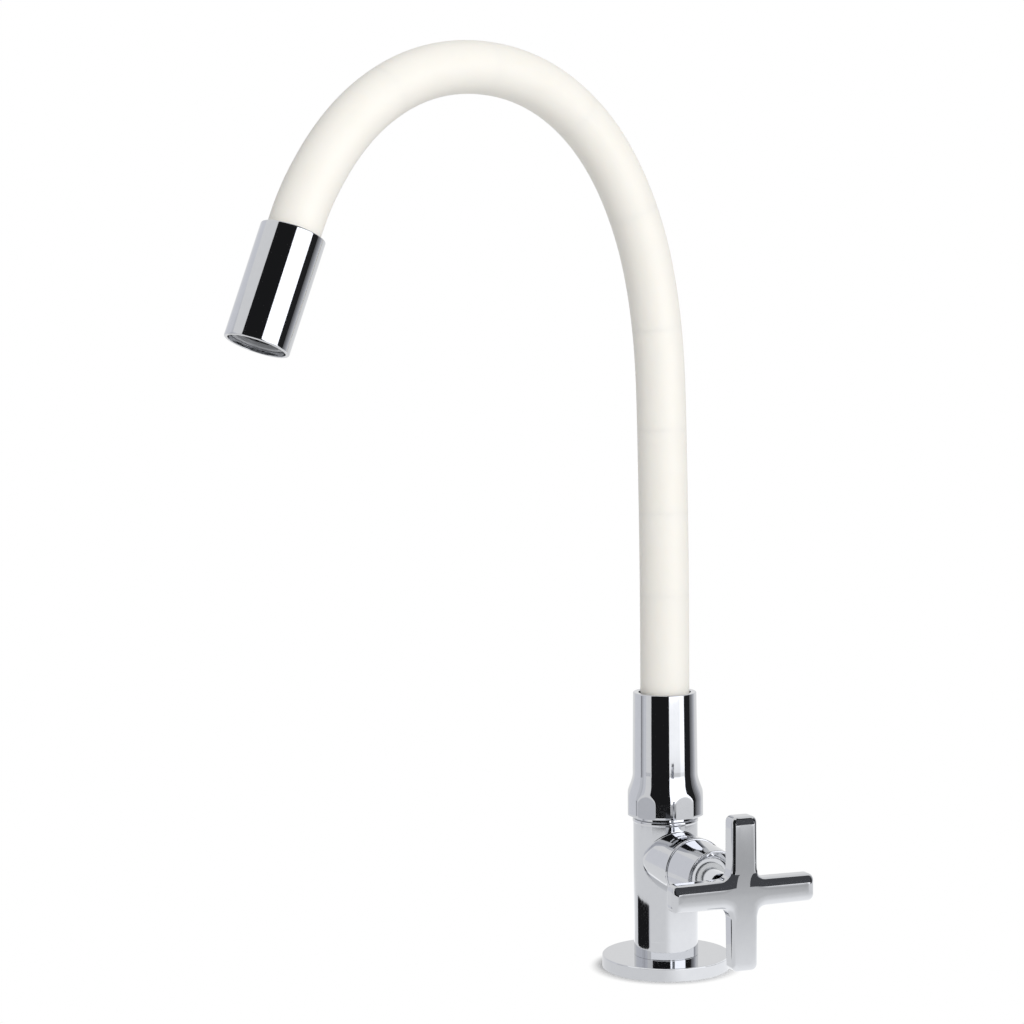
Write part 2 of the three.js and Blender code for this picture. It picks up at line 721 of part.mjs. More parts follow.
function crimpRing() {
  const inner = hoseRadius - crimpNeckDepth + fitGap / 2;
  const bottom = hoseBottom + crimpRingLift;
  return ring(inner, inner + crimpRingWall, bottom, bottom + crimpRingHeight, midSides);
}

function neckParts() {
  const ringRadius = neckBoreRadius - fitGap - nippleRingGrooveDepth / 2 + fitGap / 2;
  const slipWasher = ring(
    slipWasherInnerRadius, neckRadius, slipWasherBottom, slipWasherBottom + slipWasherThickness, midSides,
  );
  return [
    part('coupling_nut', couplingNut(), chrome),
    part('slip_washer', slipWasher, nylon),
    part('spout_nipple', spoutNipple(), brass),
    ...nippleRingDrops.map((drop, index) => part(
      `nipple_o_ring_${index}`, oRing(ringRadius, nippleRingSection, neckTop - drop), rubber,
    )),
    part('hose_crimp_ring', crimpRing(), steel),
  ];
}

// Hose sections: each runs from one bend point to the next

function routeOf(length, bend) {
  // A straight lead, an arc of the section's rest bend and a straight end, towards -Y as it bends.
  const arcLength = length - socketLead - ballLead;
  const total = bend * degrees;
  return (station) => {
    const along = Math.min(Math.max(station - socketLead, 0), arcLength);
    const heading = total * (along / arcLength);
    const before = Math.min(station, socketLead);
    const after = Math.max(station - socketLead - arcLength, 0);
    const forward = total === 0 ? 0 : (arcLength / total) * (1 - Math.cos(heading));
    const upward = total === 0 ? along : (arcLength / total) * Math.sin(heading);
    return {
      y: -(forward + after * Math.sin(heading)),
      z: before + upward + after * Math.cos(heading),
      heading,
    };
  };
}

function swept(loop, route, sides) {
  // A closed loop of [station, radius] points carried round the section's route. A loop point may
  // be a function of the direction round the hose, for mitred ends.
  const positions = [];
  const faces = [];
  for (const point of loop) {
    for (let side = 0; side < sides; side += 1) {
      const angle = (side / sides) * 2 * Math.PI;
      const [station, radius] = typeof point === 'function' ? point(angle) : point;
      const { y, z, heading } = route(station);
      const across = radius * Math.sin(angle);
      const [cos, sin] = [Math.cos(heading), Math.sin(heading)];
      positions.push(radius * Math.cos(angle), y + across * cos, z + across * sin);
    }
  }
  for (let row = 0; row < loop.length; row += 1) {
    const next = (row + 1) % loop.length;
    for (let side = 0; side < sides; side += 1) {
      const beside = (side + 1) % sides;
      const [a, b] = [row * sides + side, row * sides + beside];
      const [c, d] = [next * sides + side, next * sides + beside];
      faces.push(a, b, d, a, d, c);
    }
  }
  const geometry = new THREE.BufferGeometry();
  geometry.setAttribute('position', new THREE.BufferAttribute(new Float32Array(positions), 3));
  geometry.setIndex(faces);
  return geometry;
}

function bendStations(length, bend, low, high) {
  // Stations of the rings along a wall, closer where the section bends.
  if (bend === 0) return [low, high];
  const steps = bend < 5 ? 1 : bendSteps;
  const arcEnd = length - ballLead;
  const step = (arcEnd - socketLead) / steps;
  const inside = Array.from({ length: steps + 1 }, (_, k) => socketLead + step * k);
  return [low, ...inside.filter((station) => station > low + seatGap && station < high - seatGap), high];
}

function mitreDrop(limits, angle, radius) {
  // How far the jacket is cut back so that the next section's rim can tilt by its limits.
  const side = Math.sin(angle) * radius;
  const across = Math.cos(angle) * radius;
  const tilt = (limit) => Math.tan((limit + mitreMargin) * degrees);
  if (limits.sway) return Math.abs(across) * tilt(limits.sway);
  return side > 0 ? side * tilt(limits.out) : -side * tilt(limits.in);
}

function sleeveLoop(section, lowerEnd, limits) {
  const { length, bend, endStation } = section;
  const loop = [];
  const outerLow = lowerEnd === 'plain' ? [[section.start, hoseRadius - crimpNeckDepth],
    [section.start + crimpNeckHeight, hoseRadius - crimpNeckDepth],
    [section.start + crimpNeckHeight + crimpNeckDepth, hoseRadius]] : [[0, hoseRadius]];
  loop.push(...outerLow);
  const wallLow = lowerEnd === 'plain' ? section.start + crimpNeckHeight + crimpNeckDepth : 0;
  const innerLow = lowerEnd === 'plain' ? section.start : Math.sqrt(socketRadius ** 2 - hoseBoreRadius ** 2);
  const wallHigh = limits ? length - ballLead : endStation;
  bendStations(length, bend, wallLow, wallHigh).slice(1)
    .forEach((station) => loop.push([station, hoseRadius]));
  if (limits) {
    const drop = (angle) => seatGap + mitreDrop(limits, angle, hoseRadius);
    loop.push((angle) => [length - drop(angle), hoseRadius]);
    loop.push((angle) => [length - drop(angle), Math.sqrt(ballRadius ** 2 - drop(angle) ** 2)]);
    const tip = Math.asin(ballTipHeight / ballRadius) / degrees;
    arc([0, length], ballRadius, 0, tip, jointSteps).forEach(([radius, station]) => loop.push([station, radius]));
    loop.push([length + ballTipHeight, hoseBoreRadius]);
  } else {
    loop.push([endStation, hoseBoreRadius]);
  }
  bendStations(length, bend, innerLow, wallHigh).reverse()
    .forEach((station) => loop.push([station, hoseBoreRadius]));
  if (lowerEnd === 'socket') {
    const root = Math.asin(innerLow / socketRadius) / degrees;
    arc([0, 0], socketRadius, root, 0, jointSteps).slice(1)
      .forEach(([radius, station]) => loop.push([station, radius]));
  }
  return loop;
}

function tubeLoop(section, inner, outer, low, high) {
  const stations = bendStations(section.length, section.bend, low, high);
  return [
    ...stations.map((station) => [station, outer]),
    ...stations.toReversed().map((station) => [station, inner]),
  ];
}

function hoseParts(index, section, lowerEnd, limits) {
  // The sleeve, the gooseneck core inside it and the water tube inside that.
  const route = routeOf(section.length, section.bend);
  const pastBall = ballRadius + seatGap;
  const coreLow = lowerEnd === 'plain' ? barbTop + seatGap - section.base : pastBall;
  const tubeLow = lowerEnd === 'plain' ? coreLow - nippleTubeSocketDepth : pastBall;
  const coreHigh = limits ? section.length + coreTipHeight : section.endStation - adapterBarbLength - seatGap;
  const tubeHigh = limits ? coreHigh : coreHigh + adapterTubeSocketDepth;
  const core = tubeLoop(section, coreInnerRadius, coreOuterRadius, coreLow, coreHigh);
  const tube = tubeLoop(section, tubeInnerRadius, tubeOuterRadius, tubeLow, tubeHigh);
  return [
    part(`hose_sleeve_${index}`, swept(sleeveLoop(section, lowerEnd, limits), route, hoseSides), silicone),
    part(`gooseneck_core_${index}`, swept(core, route, coreSides), steel),
    part(`water_tube_${index}`, swept(tube, route, coreSides), nylon),
  ];
}

// Outlet sleeve and aerator, in the frame of the hose's end: +Z out of the spout, 0 at the sleeve's rim

function outletSleeve() {
  const bore = outletRadius - outletWall;
  const clampStart = hoseInsertion + seatGap + adapterFlangeThickness + seatGap;
  const clampEnd = clampStart + outletClampThickness;
  return turned([
    [bore, 0], [outletRadius - outletEdgeRound, 0], [outletRadius, outletEdgeRound],
    [outletRadius, outletLength - outletEdgeRound], [outletRadius - outletEdgeRound, outletLength],
    [outletRecessRadius, outletLength], [outletRecessRadius, clampEnd], [outletClampBoreRadius, clampEnd],
    [outletClampBoreRadius, clampStart], [bore, clampStart],
  ], wideSides);
}

function outletAdapter() {
  const barbStart = hoseInsertion - adapterBarbLength;
  const flangeStart = hoseInsertion + seatGap;
  const flangeEnd = flangeStart + adapterFlangeThickness;
  const end = flangeEnd + adapterNeckLength;
  const socketEnd = barbStart + adapterTubeSocketDepth;
  const flangeEdge = outletRadius - outletWall - fitGap;
  return turned([
    [coreInnerRadius, barbStart], [coreOuterRadius, barbStart], [coreOuterRadius, flangeStart],
    [flangeEdge, flangeStart], [flangeEdge, flangeEnd], [outletClampBoreRadius - fitGap, flangeEnd],
    [outletClampBoreRadius - fitGap, end], [nippleBoreRadius, end], [nippleBoreRadius, socketEnd],
    [coreInnerRadius, socketEnd],
  ], midSides);
}

function aeratorHousing(start) {
  const outer = outletRecessRadius - fitGap;
  const inner = outer - aeratorWall;
  const end = start + aeratorHousingLength;
  return turned([
    [aeratorTopBoreRadius, start], [outer, start], [outer, end], [aeratorLipRadius, end],
    [aeratorLipRadius, end - aeratorLipHeight], [inner, end - aeratorLipHeight],
    [inner, start + aeratorTopThickness], [aeratorTopBoreRadius, start + aeratorTopThickness],
  ], midSides);
}

function drilledDisc(radius, start, thickness, holes) {
  const tools = holes.map(([x, y, holeRadius]) => {
    const drill = new THREE.CylinderGeometry(holeRadius, holeRadius, thickness + 2 * cutOverrun, 6, 1);
    return drill.rotateX(Math.PI / 2).translate(x, y, start + thickness / 2);
  });
  return cut(rod(radius, start, start + thickness, midSides), ...tools);
}

function screenHoles() {
  return screenRingCounts.flatMap((count, lap) => Array.from({ length: count }, (_, k) => {
    const angle = (k / count) * 2 * Math.PI;
    return [lap * screenRingPitch * Math.cos(angle), lap * screenRingPitch * Math.sin(angle), screenHoleRadius];
  }));
}

function formerHoles() {
  return Array.from({ length: formerHoleCount }, (_, k) => {
    const angle = (k / formerHoleCount) * 2 * Math.PI;
    return [formerHoleCircle * Math.cos(angle), formerHoleCircle * Math.sin(angle), formerHoleRadius];
  });
}

function outletParts() {
  const clampEnd = hoseInsertion + seatGap + adapterFlangeThickness + seatGap + outletClampThickness;
  const gasketStart = clampEnd + seatGap;
  const housingStart = gasketStart + aeratorGasketThickness + seatGap;
  const housingBore = outletRecessRadius - fitGap - aeratorWall;
  const screenEnd = housingStart + aeratorHousingLength - aeratorLipHeight - seatGap;
  const gasket = ring(
    outletClampBoreRadius, outletRecessRadius - fitGap, gasketStart,
    gasketStart + aeratorGasketThickness, midSides,
  );
  const screen = drilledDisc(housingBore - fitGap, screenEnd - screenThickness, screenThickness, screenHoles());
  const former = drilledDisc(housingBore - fitGap, housingStart + formerDrop, formerThickness, formerHoles());
  return [
    part('outlet_sleeve', outletSleeve(), chrome),
    part('outlet_adapter', outletAdapter(), brass),
    part('aerator_gasket', gasket, rubber),
    part('aerator_housing', aeratorHousing(housingStart), greyPlastic),
    part('aerator_jet_former', former, greyPlastic),
    part('aerator_screen', screen, steel),
  ];
}

function placedAt(group, place) {
  group.position.set(0, place.y, place.z);
  group.rotation.x = place.heading;
  return group;
}

function spout() {
  // Nested groups carry the bend: each section's group holds its pieces and the next section.
  const base = new THREE.Group();
  base.position.z = hoseBottom;
  const firstLength = firstBendHeight - hoseBottom;
  const first = { length: firstLength, bend: 0, start: 0, base: hoseBottom };
  base.add(...hoseParts(0, first, 'plain', firstBend));
  let holder = base;
  let place = routeOf(firstLength, 0)(firstLength);
  hoseSections.forEach(({ length, bend, next }, index) => {
    const group = placedAt(new THREE.Group(), place);
    const endStation = next ? length : length + hoseInsertion;
    group.add(...hoseParts(index + 1, { length, bend, endStation }, 'socket', next));
    holder.add(group);
    holder = group;
    place = routeOf(length, bend)(length);
  });
  const outlet = placedAt(new THREE.Group(), place);
  outlet.add(...outletParts());
  holder.add(outlet);
  return base;
}

// The whole tap

const faucet = new THREE.Group();
faucet.add(
  part('base_flange', flange(), chrome),
  part('flange_gasket', ring(gasketInnerRadius, gasketOuterRadius, 0, gasketThickness, wideSides), rubber),
  part('inlet_shank', inletShank(), brass),
  ...underDeckParts(),
  part('valve_body', valveBody(), chrome),
  branchParts(),
  ...neckParts(),
  spout(),
);

export default faucet;
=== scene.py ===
import json
from math import atan2, cos, hypot, pi, radians, sin, sqrt, tan

import bmesh
import bpy
from mathutils import Matrix, Vector


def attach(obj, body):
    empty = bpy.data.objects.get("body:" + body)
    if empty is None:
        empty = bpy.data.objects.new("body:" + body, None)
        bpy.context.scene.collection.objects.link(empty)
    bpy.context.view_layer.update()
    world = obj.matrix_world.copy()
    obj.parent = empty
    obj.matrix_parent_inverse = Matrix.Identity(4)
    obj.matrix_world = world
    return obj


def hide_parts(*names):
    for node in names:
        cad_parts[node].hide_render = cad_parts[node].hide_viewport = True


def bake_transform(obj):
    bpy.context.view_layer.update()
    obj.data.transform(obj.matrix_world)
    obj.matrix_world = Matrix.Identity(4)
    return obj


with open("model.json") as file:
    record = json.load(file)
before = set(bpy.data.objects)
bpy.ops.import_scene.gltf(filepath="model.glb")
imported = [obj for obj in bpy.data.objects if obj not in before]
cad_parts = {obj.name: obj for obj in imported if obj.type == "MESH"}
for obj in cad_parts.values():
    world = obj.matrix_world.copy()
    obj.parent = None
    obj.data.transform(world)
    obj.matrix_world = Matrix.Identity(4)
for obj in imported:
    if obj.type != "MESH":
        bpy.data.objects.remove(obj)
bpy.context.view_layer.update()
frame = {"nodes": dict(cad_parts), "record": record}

# Sizes in millimetres; pieces are made in them and placed in metres.
MM = 0.001
TOUCH = 1e-6
HAIR = 1e-3

# Camera, from the photograph's perspective
CAMERA_PLACE = (729.8, -666.3, 255.06)
CAMERA_AZIMUTH = 51.0
CAMERA_PITCH = 0.0773
CAMERA_ROLL = -0.0104
CAMERA_LENS = 90.09
CAMERA_SENSOR = 36.0
CAMERA_CLIP = 0.01

# Base flange and gasket
FLANGE_RADIUS = 25.0
FLANGE_HEIGHT = 5.0
FLANGE_BORE = 10.6
RECESS_OUTER = 21.3
RECESS_INNER = 13.7
RECESS_HEIGHT = 2.3
GASKET_OUTER = 21.0
GASKET_INNER = 14.0
GASKET_THICK = 2.0

# Shank and clamp under the deck
SHANK_RADIUS = 10.3
SHANK_TIP = 9.3
SHANK_CHAMFER = 1.0
SHANK_BORE = 7.0
SHANK_BOTTOM = -48.0
SHANK_TOP = 15.0
THREAD_TOP = -4.0
THREAD_PITCH = 1.814
THREAD_DEPTH = 0.75
THREAD_ROWS = 6
THREAD_STEEPNESS = 1.3
WASHER_BORE = 10.6
RUBBER_TOP = -20.0
RUBBER_THICK = 2.5
RUBBER_RADIUS = 18.0
STEEL_TOP = -22.8
STEEL_THICK = 1.5
STEEL_RADIUS = 19.0
NUT_TOP = -24.6
NUT_HEIGHT = 8.0
NUT_HALF = 15.0
NUT_CHAMFER_WIDTH = 2.4
NUT_CHAMFER_HEIGHT = 1.3

# Valve body
BODY_RADIUS = 12.5
BODY_BOTTOM = 5.02
BODY_TOP = 58.8
BEAD_RADIUS = 12.75
BEAD_FOOT = 57.3
BEAD_EDGE = 57.7
SHOULDER_RADIUS = 11.8
SHOULDER_TOP = 60.0
NECK_RADIUS = 10.3
NECK_TOP = 73.0
NECK_BORE = 8.0
NECK_FLOOR = 58.0
WATERWAY = 5.5
INLET_BORE = 10.6
INLET_TOP = 15.3

# Side branch of the body
BRANCH_HEIGHT = 43.2
BRANCH_AZIMUTH = -18.4
BRANCH_ROOT = 11.6
BRANCH_MOUTH = 12.5
BRANCH_REACH = 28.0
BRANCH_BORE = 10.5
BRANCH_FLOOR = 18.0
BRANCH_SIDES = 180
BRANCH_FILLET = 0.7
FILLET_LIFT = 0.1
FILLET_STEPS = 6
MOUTH_EDGE = 0.5
MOUTH_ROUNDING = ((MOUTH_EDGE, 0.0), (0.34, 0.04), (0.15, 0.15), (0.04, 0.34), (0.0, MOUTH_EDGE))
CONE_SHARES = (0.015, 0.15, 0.4, 0.7, 0.92, 0.985)

# Bonnet and lock ring, along the branch
BONNET_BACK = 28.3
BONNET_FRONT = 45.7
BONNET_BACK_RADIUS = 12.0
BONNET_FRONT_RADIUS = 11.2
BONNET_THREAD = 10.5
BONNET_SEAT = 34.3
BONNET_BORE = 7.8
BONNET_FLOOR = 37.3
BONNET_MOUTH = 10.25
LOCK_BACK = 37.6
LOCK_FRONT = 41.4
LOCK_COLLAR_FRONT = 42.2
LOCK_BORE = 7.8
LOCK_COLLAR = 8.3
LOCK_RADIUS = 9.6
LOCK_HALF = 8.6

# Stem and its clip, along the branch
STEM_BACK = 15.6
STEM_FRONT = 69.2
STEM_RADIUS = 3.85
DRIVER_RADIUS = 7.6
DRIVER_FRONT = 18.4
GUIDE_RADIUS = 4.8
GUIDE_FRONT = 38.2
SEAL_GROOVE = 3.7
SEAL_GROOVE_BACK = 29.75
SEAL_GROOVE_FRONT = 31.35
CLIP_GROOVE = 3.25
CLIP_GROOVE_BACK = 41.2
CLIP_GROOVE_FRONT = 42.6
CLIP_BORE = 3.55
CLIP_RADIUS = 6.0
CLIP_BACK = 41.5
CLIP_FRONT = 42.3

# Cross handle
HANDLE_FRONT = 71.5
HANDLE_THICK = 7.0
HANDLE_SPAN = 57.1
ARM_HALF = 5.2
TIP_HALF = 5.05
TIP_CORNER = 2.2
TIP_CORNER_LOSS = 0.3
INNER_FILLET = 4.0
HANDLE_STEPS = 8
BACK_EDGE = 1.0
BACK_EDGE_STEPS = 6
BACK_RING = 3.6
HANDLE_EDGE = 2.9
HANDLE_EDGE_STEPS = 10
EDGE_MARGIN = 0.15
UPRIGHT_EDGE = 1.8
UPRIGHT_FROM = -0.5
UPRIGHT_OVER = 3.2
FACE_DOME = 0.05
DOME_STEP = 0.3
DOME_STEPS = 5

# Coupling nut
COUPLING_BOTTOM = 60.3
COUPLING_TOP = 108.2
COUPLING_HEX_AZIMUTH = -12.0
HEX_HALF = 14.57
HEX_RADIUS = 15.15
HEX_SOFTNESS = 0.12
HEX_EDGE_TO = 61.8
HEX_FROM = 61.3
HEX_TO = 66.1
HEX_STEP = 0.4
FLARE_BOTTOM = 66.3
FLARE_HEIGHT = 10.4
FLARE_STEPS = 24
SLEEVE_FOOT = 12.6
SLEEVE_FROM = 78.3
SLEEVE_RIM = 12.3
COUPLING_MOUTH = 10.15
COUPLING_WAIST = 8.6
COUPLING_THREAD = 10.6
WAIST_BOTTOM = 77.6
WAIST_TOP = 80.7

# Hose: each section's length and the bend in its middle, from the coupling nut to the outlet
HOSE_RADIUS = 9.5
HOSE_BORE = 6.3
HOSE_BOTTOM = 81.3
HOSE_STEP = 1.25
FIRST_BEND = 130.0
SOCKET_LEAD = 7.5
BALL_LEAD = 5.0
HOSE_SECTIONS = (
    (32, 0.7), (32, 0.7), (32, 0), (46, 13), (46, 23),
    (46, 35.4), (46, 31.3), (46, 33.7), (42, 19.7),
)
HOSE_INSERTION = 20.0
ROUTE_STEP = 0.5
BLEND_MARGIN = 3.0
OUTLET_MARGIN = 6.0

# The hose's lower end, under the crimp band
CRIMPED_RADIUS = 9.1
CRIMPED_TO = 9.5
CRIMPED_STATIONS = [0.0, 9.2, 9.6, 9.9]
PLAIN_FROM = 11.0
CRIMP_RADIUS = 9.8
CRIMP_BORE = 9.25
CRIMP_BOTTOM = 82.3
CRIMP_TOP = 89.3

# Outlet sleeve and aerator housing, along the hose's end
OUTLET_LENGTH = 41.5
OUTLET_RADIUS = 11.6
OUTLET_BORE = 9.85
OUTLET_MOUTH = 10.3
OUTLET_SEAT = 8.0
OUTLET_SEAT_BACK = 24.3
OUTLET_SEAT_FRONT = 26.3
AERATOR_RADIUS = 10.0
AERATOR_BORE = 8.6
AERATOR_INLET = 5.0
AERATOR_LIP = 7.9
AERATOR_BACK = 28.5
AERATOR_FLOOR = 29.5
AERATOR_LIP_BACK = 38.4
AERATOR_FRONT = 39.9

# Edges that turn by less than this angle are shaded smooth.
SHARP_ANGLE = 38.0
COUPLING_SHARP_ANGLE = 60.0


# Shader expressions

class Wire:
    """A node's output that takes part in Python sums, so a pattern reads as an expression."""

    def __init__(self, tree, socket=None):
        self.tree = tree
        self.socket = socket

    def node(self, kind, settings=None, values=None, output=0):
        """One node of the given type: its settings first, then its sockets' values or links."""
        made = self.tree.nodes.new(kind)
        for name, value in (settings or {}).items():
            setattr(made, name, value)
        for name, value in (values or {}).items():
            if isinstance(value, Wire):
                self.tree.links.new(value.socket, made.inputs[name])
            else:
                made.inputs[name].default_value = value
        return Wire(self.tree, made.outputs[output]) if made.outputs else None

    def sum_of(self, operation, first, second=0.0):
        return self.node("ShaderNodeMath", {"operation": operation}, {0: first, 1: second})

    def __add__(self, other):
        return self.sum_of("ADD", self, other)

    __radd__ = __add__

    def __mul__(self, other):
        return self.sum_of("MULTIPLY", self, other)

    __rmul__ = __mul__

    def __sub__(self, other):
        return self.sum_of("SUBTRACT", self, other)

    def __rsub__(self, other):
        return self.sum_of("SUBTRACT", other, self)

    def between(self, low, high):
        """0 below low, 1 above high, smooth in between."""
        return self.node(
            "ShaderNodeMapRange",
            {"interpolation_type": "SMOOTHSTEP"},
            {"Value": self, "From Min": low, "From Max": high},
        )

    def part_of(self, axis):
        return self.node("ShaderNodeSeparateXYZ", {}, {0: self}, output=axis)


def rgb(red, green, blue):
    """An opaque colour."""
    return (red, green, blue, 1.0)


def mixed(wire, first, second, share):
    """The first colour where share is 0, the second where it is 1."""
    return wire.node(
        "ShaderNodeMix", {"data_type": "RGBA"}, {0: share, 6: first, 7: second}, output=2
    )


def places(wire):
    """Object coordinates, in metres."""
    return wire.node("ShaderNodeTexCoord", output=3)


def noise(wire, size_mm, detail):
    """Soft noise whose patches are about the given size."""
    return wire.node(
        "ShaderNodeTexNoise",
        {},
        {"Vector": places(wire), "Scale": 1.0 / (size_mm * MM), "Detail": detail, "Roughness": 0.5},
    )


def surface(dark, light, patches, relief, roughness, bump):
    """A pattern that varies colour and roughness in patches and the normal with a relief.

    patches and relief are the size in mm and the detail of their noise, roughness is its
    least value and what the patches and the relief add, bump is its height in mm and strength.
    """
    def pattern(wire):
        patch, fine = noise(wire, *patches), noise(wire, *relief)
        least, with_patch, with_fine = roughness
        rough = least + with_patch * patch
        if with_fine:
            rough = rough + with_fine * fine
        height, strength = bump
        normal = wire.node(
            "ShaderNodeBump", {}, {"Height": fine, "Distance": height * MM, "Strength": strength}
        )
        return {
            "Base Color": mixed(wire, dark, light, patch), "Roughness": rough, "Normal": normal,
        }
    return pattern


def plastic(dark, light):
    """Moulded plastic or lapped ceramic: faint clouding and a fine grain."""
    return surface(
        dark, light,
        patches=(5.0, 3.0), relief=(0.3, 2.0), roughness=(0.4, 0.14, 0), bump=(0.01, 1.0),
    )


def principled(name, constants, pattern):
    """A Principled material: constants on its own sockets, and what the pattern varies."""
    material = bpy.data.materials.new(name)
    material.use_nodes = True
    shader = material.node_tree.nodes["Principled BSDF"]
    for socket, value in constants.items():
        shader.inputs[socket].default_value = value
    for socket, wire in pattern(Wire(material.node_tree)).items():
        material.node_tree.links.new(wire.socket, shader.inputs[socket])
    return material


FINISHES = {
    # Plated brass: a faint waviness of the polish and slightly duller patches
    "chrome": principled("polished_chrome", {"Metallic": 1.0}, surface(
        rgb(0.62, 0.63, 0.655), rgb(0.66, 0.67, 0.69),
        patches=(2.5, 3.0), relief=(9.0, 1.0), roughness=(0.035, 0.04, 0), bump=(0.012, 1.0),
    )),
    # Off-white silicone with a satin skin, faint clouding and a very fine grain
    "silicone": principled("cream_silicone", {
        "Subsurface Weight": 0.12, "Subsurface Radius": (1.0, 0.8, 0.6),
        "Subsurface Scale": 0.003, "Specular IOR Level": 0.35,
    }, surface(
        rgb(0.915, 0.885, 0.82), rgb(0.94, 0.915, 0.86),
        patches=(14.0, 3.0), relief=(0.35, 2.0), roughness=(0.42, 0.1, 0.06), bump=(0.01, 0.5),
    )),
    # Machined brass: fine marks and uneven tarnish
    "brass": principled("machined_brass", {"Metallic": 1.0}, surface(
        rgb(0.62, 0.42, 0.17), rgb(0.72, 0.53, 0.27),
        patches=(6.0, 4.0), relief=(0.3, 2.0), roughness=(0.24, 0.16, 0), bump=(0.006, 1.0),
    )),
    # Plain stainless steel with a slightly uneven surface
    "steel": principled("stainless_steel", {"Metallic": 1.0}, surface(
        rgb(0.46, 0.47, 0.48), rgb(0.56, 0.57, 0.58),
        patches=(0.8, 3.0), relief=(0.8, 3.0), roughness=(0.26, 0.14, 0), bump=(0.008, 1.0),
    )),
    # Black seal rubber with a chalky bloom
    "rubber": principled("seal_rubber", {"Specular IOR Level": 0.3}, surface(
        rgb(0.012, 0.012, 0.013), rgb(0.035, 0.035, 0.037),
        patches=(3.0, 4.0), relief=(0.4, 2.0), roughness=(0.62, 0.2, 0), bump=(0.02, 1.0),
    )),
    "nylon": principled(
        "natural_nylon", {}, plastic(rgb(0.76, 0.755, 0.72), rgb(0.82, 0.815, 0.78))
    ),
    "grey_plastic": principled(
        "grey_plastic", {}, plastic(rgb(0.38, 0.39, 0.41), rgb(0.45, 0.46, 0.48))
    ),
    "ceramic": principled(
        "lapped_ceramic", {}, plastic(rgb(0.85, 0.84, 0.8), rgb(0.9, 0.89, 0.86))
    ),
}

for row in frame["record"]["subparts"]:
    solid = frame["nodes"][row["node"]]
    solid.data.materials.clear()
    solid.data.materials.append(FINISHES[row["material_slot"]])


# Making and placing pieces

def mesh_of(name, form):
    """The form's mesh; the form itself is used up."""
    mesh = bpy.data.meshes.new(name)
    form.to_mesh(mesh)
    form.free()
    return mesh


def linked(name, data):
    """A new object of these data, in the scene."""
    made = bpy.data.objects.new(name, data)
    bpy.context.scene.collection.objects.link(made)
    return made


def placed_piece(name, form, place, slot, sharp=SHARP_ANGLE):
    """A mesh object from a bmesh in mm, turned and moved to its place in the CAD's frame."""
    bmesh.ops.transform(form, matrix=Matrix.Scale(MM, 4) @ place, verts=form.verts)
    for face in form.faces:
        face.smooth = True
    mesh = mesh_of(name, form)
    mesh.set_sharp_from_angle(angle=radians(sharp))
    mesh.materials.append(FINISHES[slot])
    piece = linked(name, mesh)
    return piece


def riding(name, form, place, slot, body, *nodes, sharp=SHARP_ANGLE):
    """A placed piece that moves with a body and stands for the nodes named."""
    piece = placed_piece(name, form, place, slot, sharp)
    if nodes:
        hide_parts(*nodes)
    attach(piece, body)
    return piece


def eased(corners, steps=4, most_of_side=0.48, straight=89.5):
    """An outline of (radius, height, rounding) corners with its corners rounded to arcs."""
    points = []
    count = len(corners)
    for k, (x, z, rounding) in enumerate(corners):
        here = Vector((x, z))
        before = Vector(corners[k - 1][:2]) - here
        after = Vector(corners[(k + 1) % count][:2]) - here
        half = before.angle(after) / 2
        if rounding <= 0 or half > radians(straight):
            points.append((x, z))
            continue
        longest = most_of_side * min(before.length, after.length)
        reach = min(rounding / tan(half), longest)
        radius = reach * tan(half)
        inward = (before.normalized() + after.normalized()).normalized()
        middle = here + inward * (radius / sin(half))
        first = here + before.normalized() * reach - middle
        last = here + after.normalized() * reach - middle
        swing = first.angle(last)
        for step in range(steps + 1):
            share = step / steps
            arm = (first * sin((1 - share) * swing) + last * sin(share * swing)) / sin(swing)
            points.append(tuple(middle + arm))
    return points


def supported(outline, margin=0.15, long_stretch=6):
    """The outline with extra points near the ends of its long stretches, which keep them flat."""
    points = []
    for k, point in enumerate(outline):
        here, following_point = Vector(point), Vector(outline[(k + 1) % len(outline)])
        points.append(point)
        run = following_point - here
        if run.length > long_stretch * margin and max(here.x, following_point.x) > TOUCH:
            step = run.normalized() * margin
            points += [tuple(here + step), tuple(following_point - step)]
    return points


def spun(outline, steps=144):
    """A turned piece about Z from an outline of (radius, height) points."""
    form = bmesh.new()
    corners = [form.verts.new((radius, 0, height)) for radius, height in supported(outline)]
    loop = list(zip(corners, corners[1:] + corners[:1]))
    edges = [form.edges.new(pair) for pair in loop if any(v.co.x > TOUCH for v in pair)]
    bmesh.ops.spin(
        form, geom=corners + edges, cent=(0, 0, 0), axis=(0, 0, 1),
        angle=2 * pi, steps=steps, use_merge=True,
    )
    bmesh.ops.remove_doubles(form, verts=form.verts, dist=1e-5)
    bmesh.ops.recalc_face_normals(form, faces=form.faces)
    return form


def soft_least(first, second, softness):
    """The lesser of two sizes, with the corner between them rounded over the softness."""
    near = max(softness - abs(first - second), 0.0) / softness
    return min(first, second) - near * near * softness / 4


def hexed(form, half_width, softness=0.25):
    """Flats on a turned piece: nothing stands further out than a hexagon of this half width."""
    for vert in form.verts:
        radius = hypot(vert.co.x, vert.co.y)
        if radius < half_width / 2:
            continue
        turn = atan2(vert.co.y, vert.co.x) % radians(60)
        flat = half_width / cos(turn - radians(30))
        kept = soft_least(radius, flat, softness)
        vert.co.x *= kept / radius
        vert.co.y *= kept / radius
    return form


def rows_between(low, high, step):
    """Evenly spaced numbers from low to high, about a step apart."""
    count = max(1, round((high - low) / step))
    return [low + (high - low) * k / count for k in range(count + 1)]


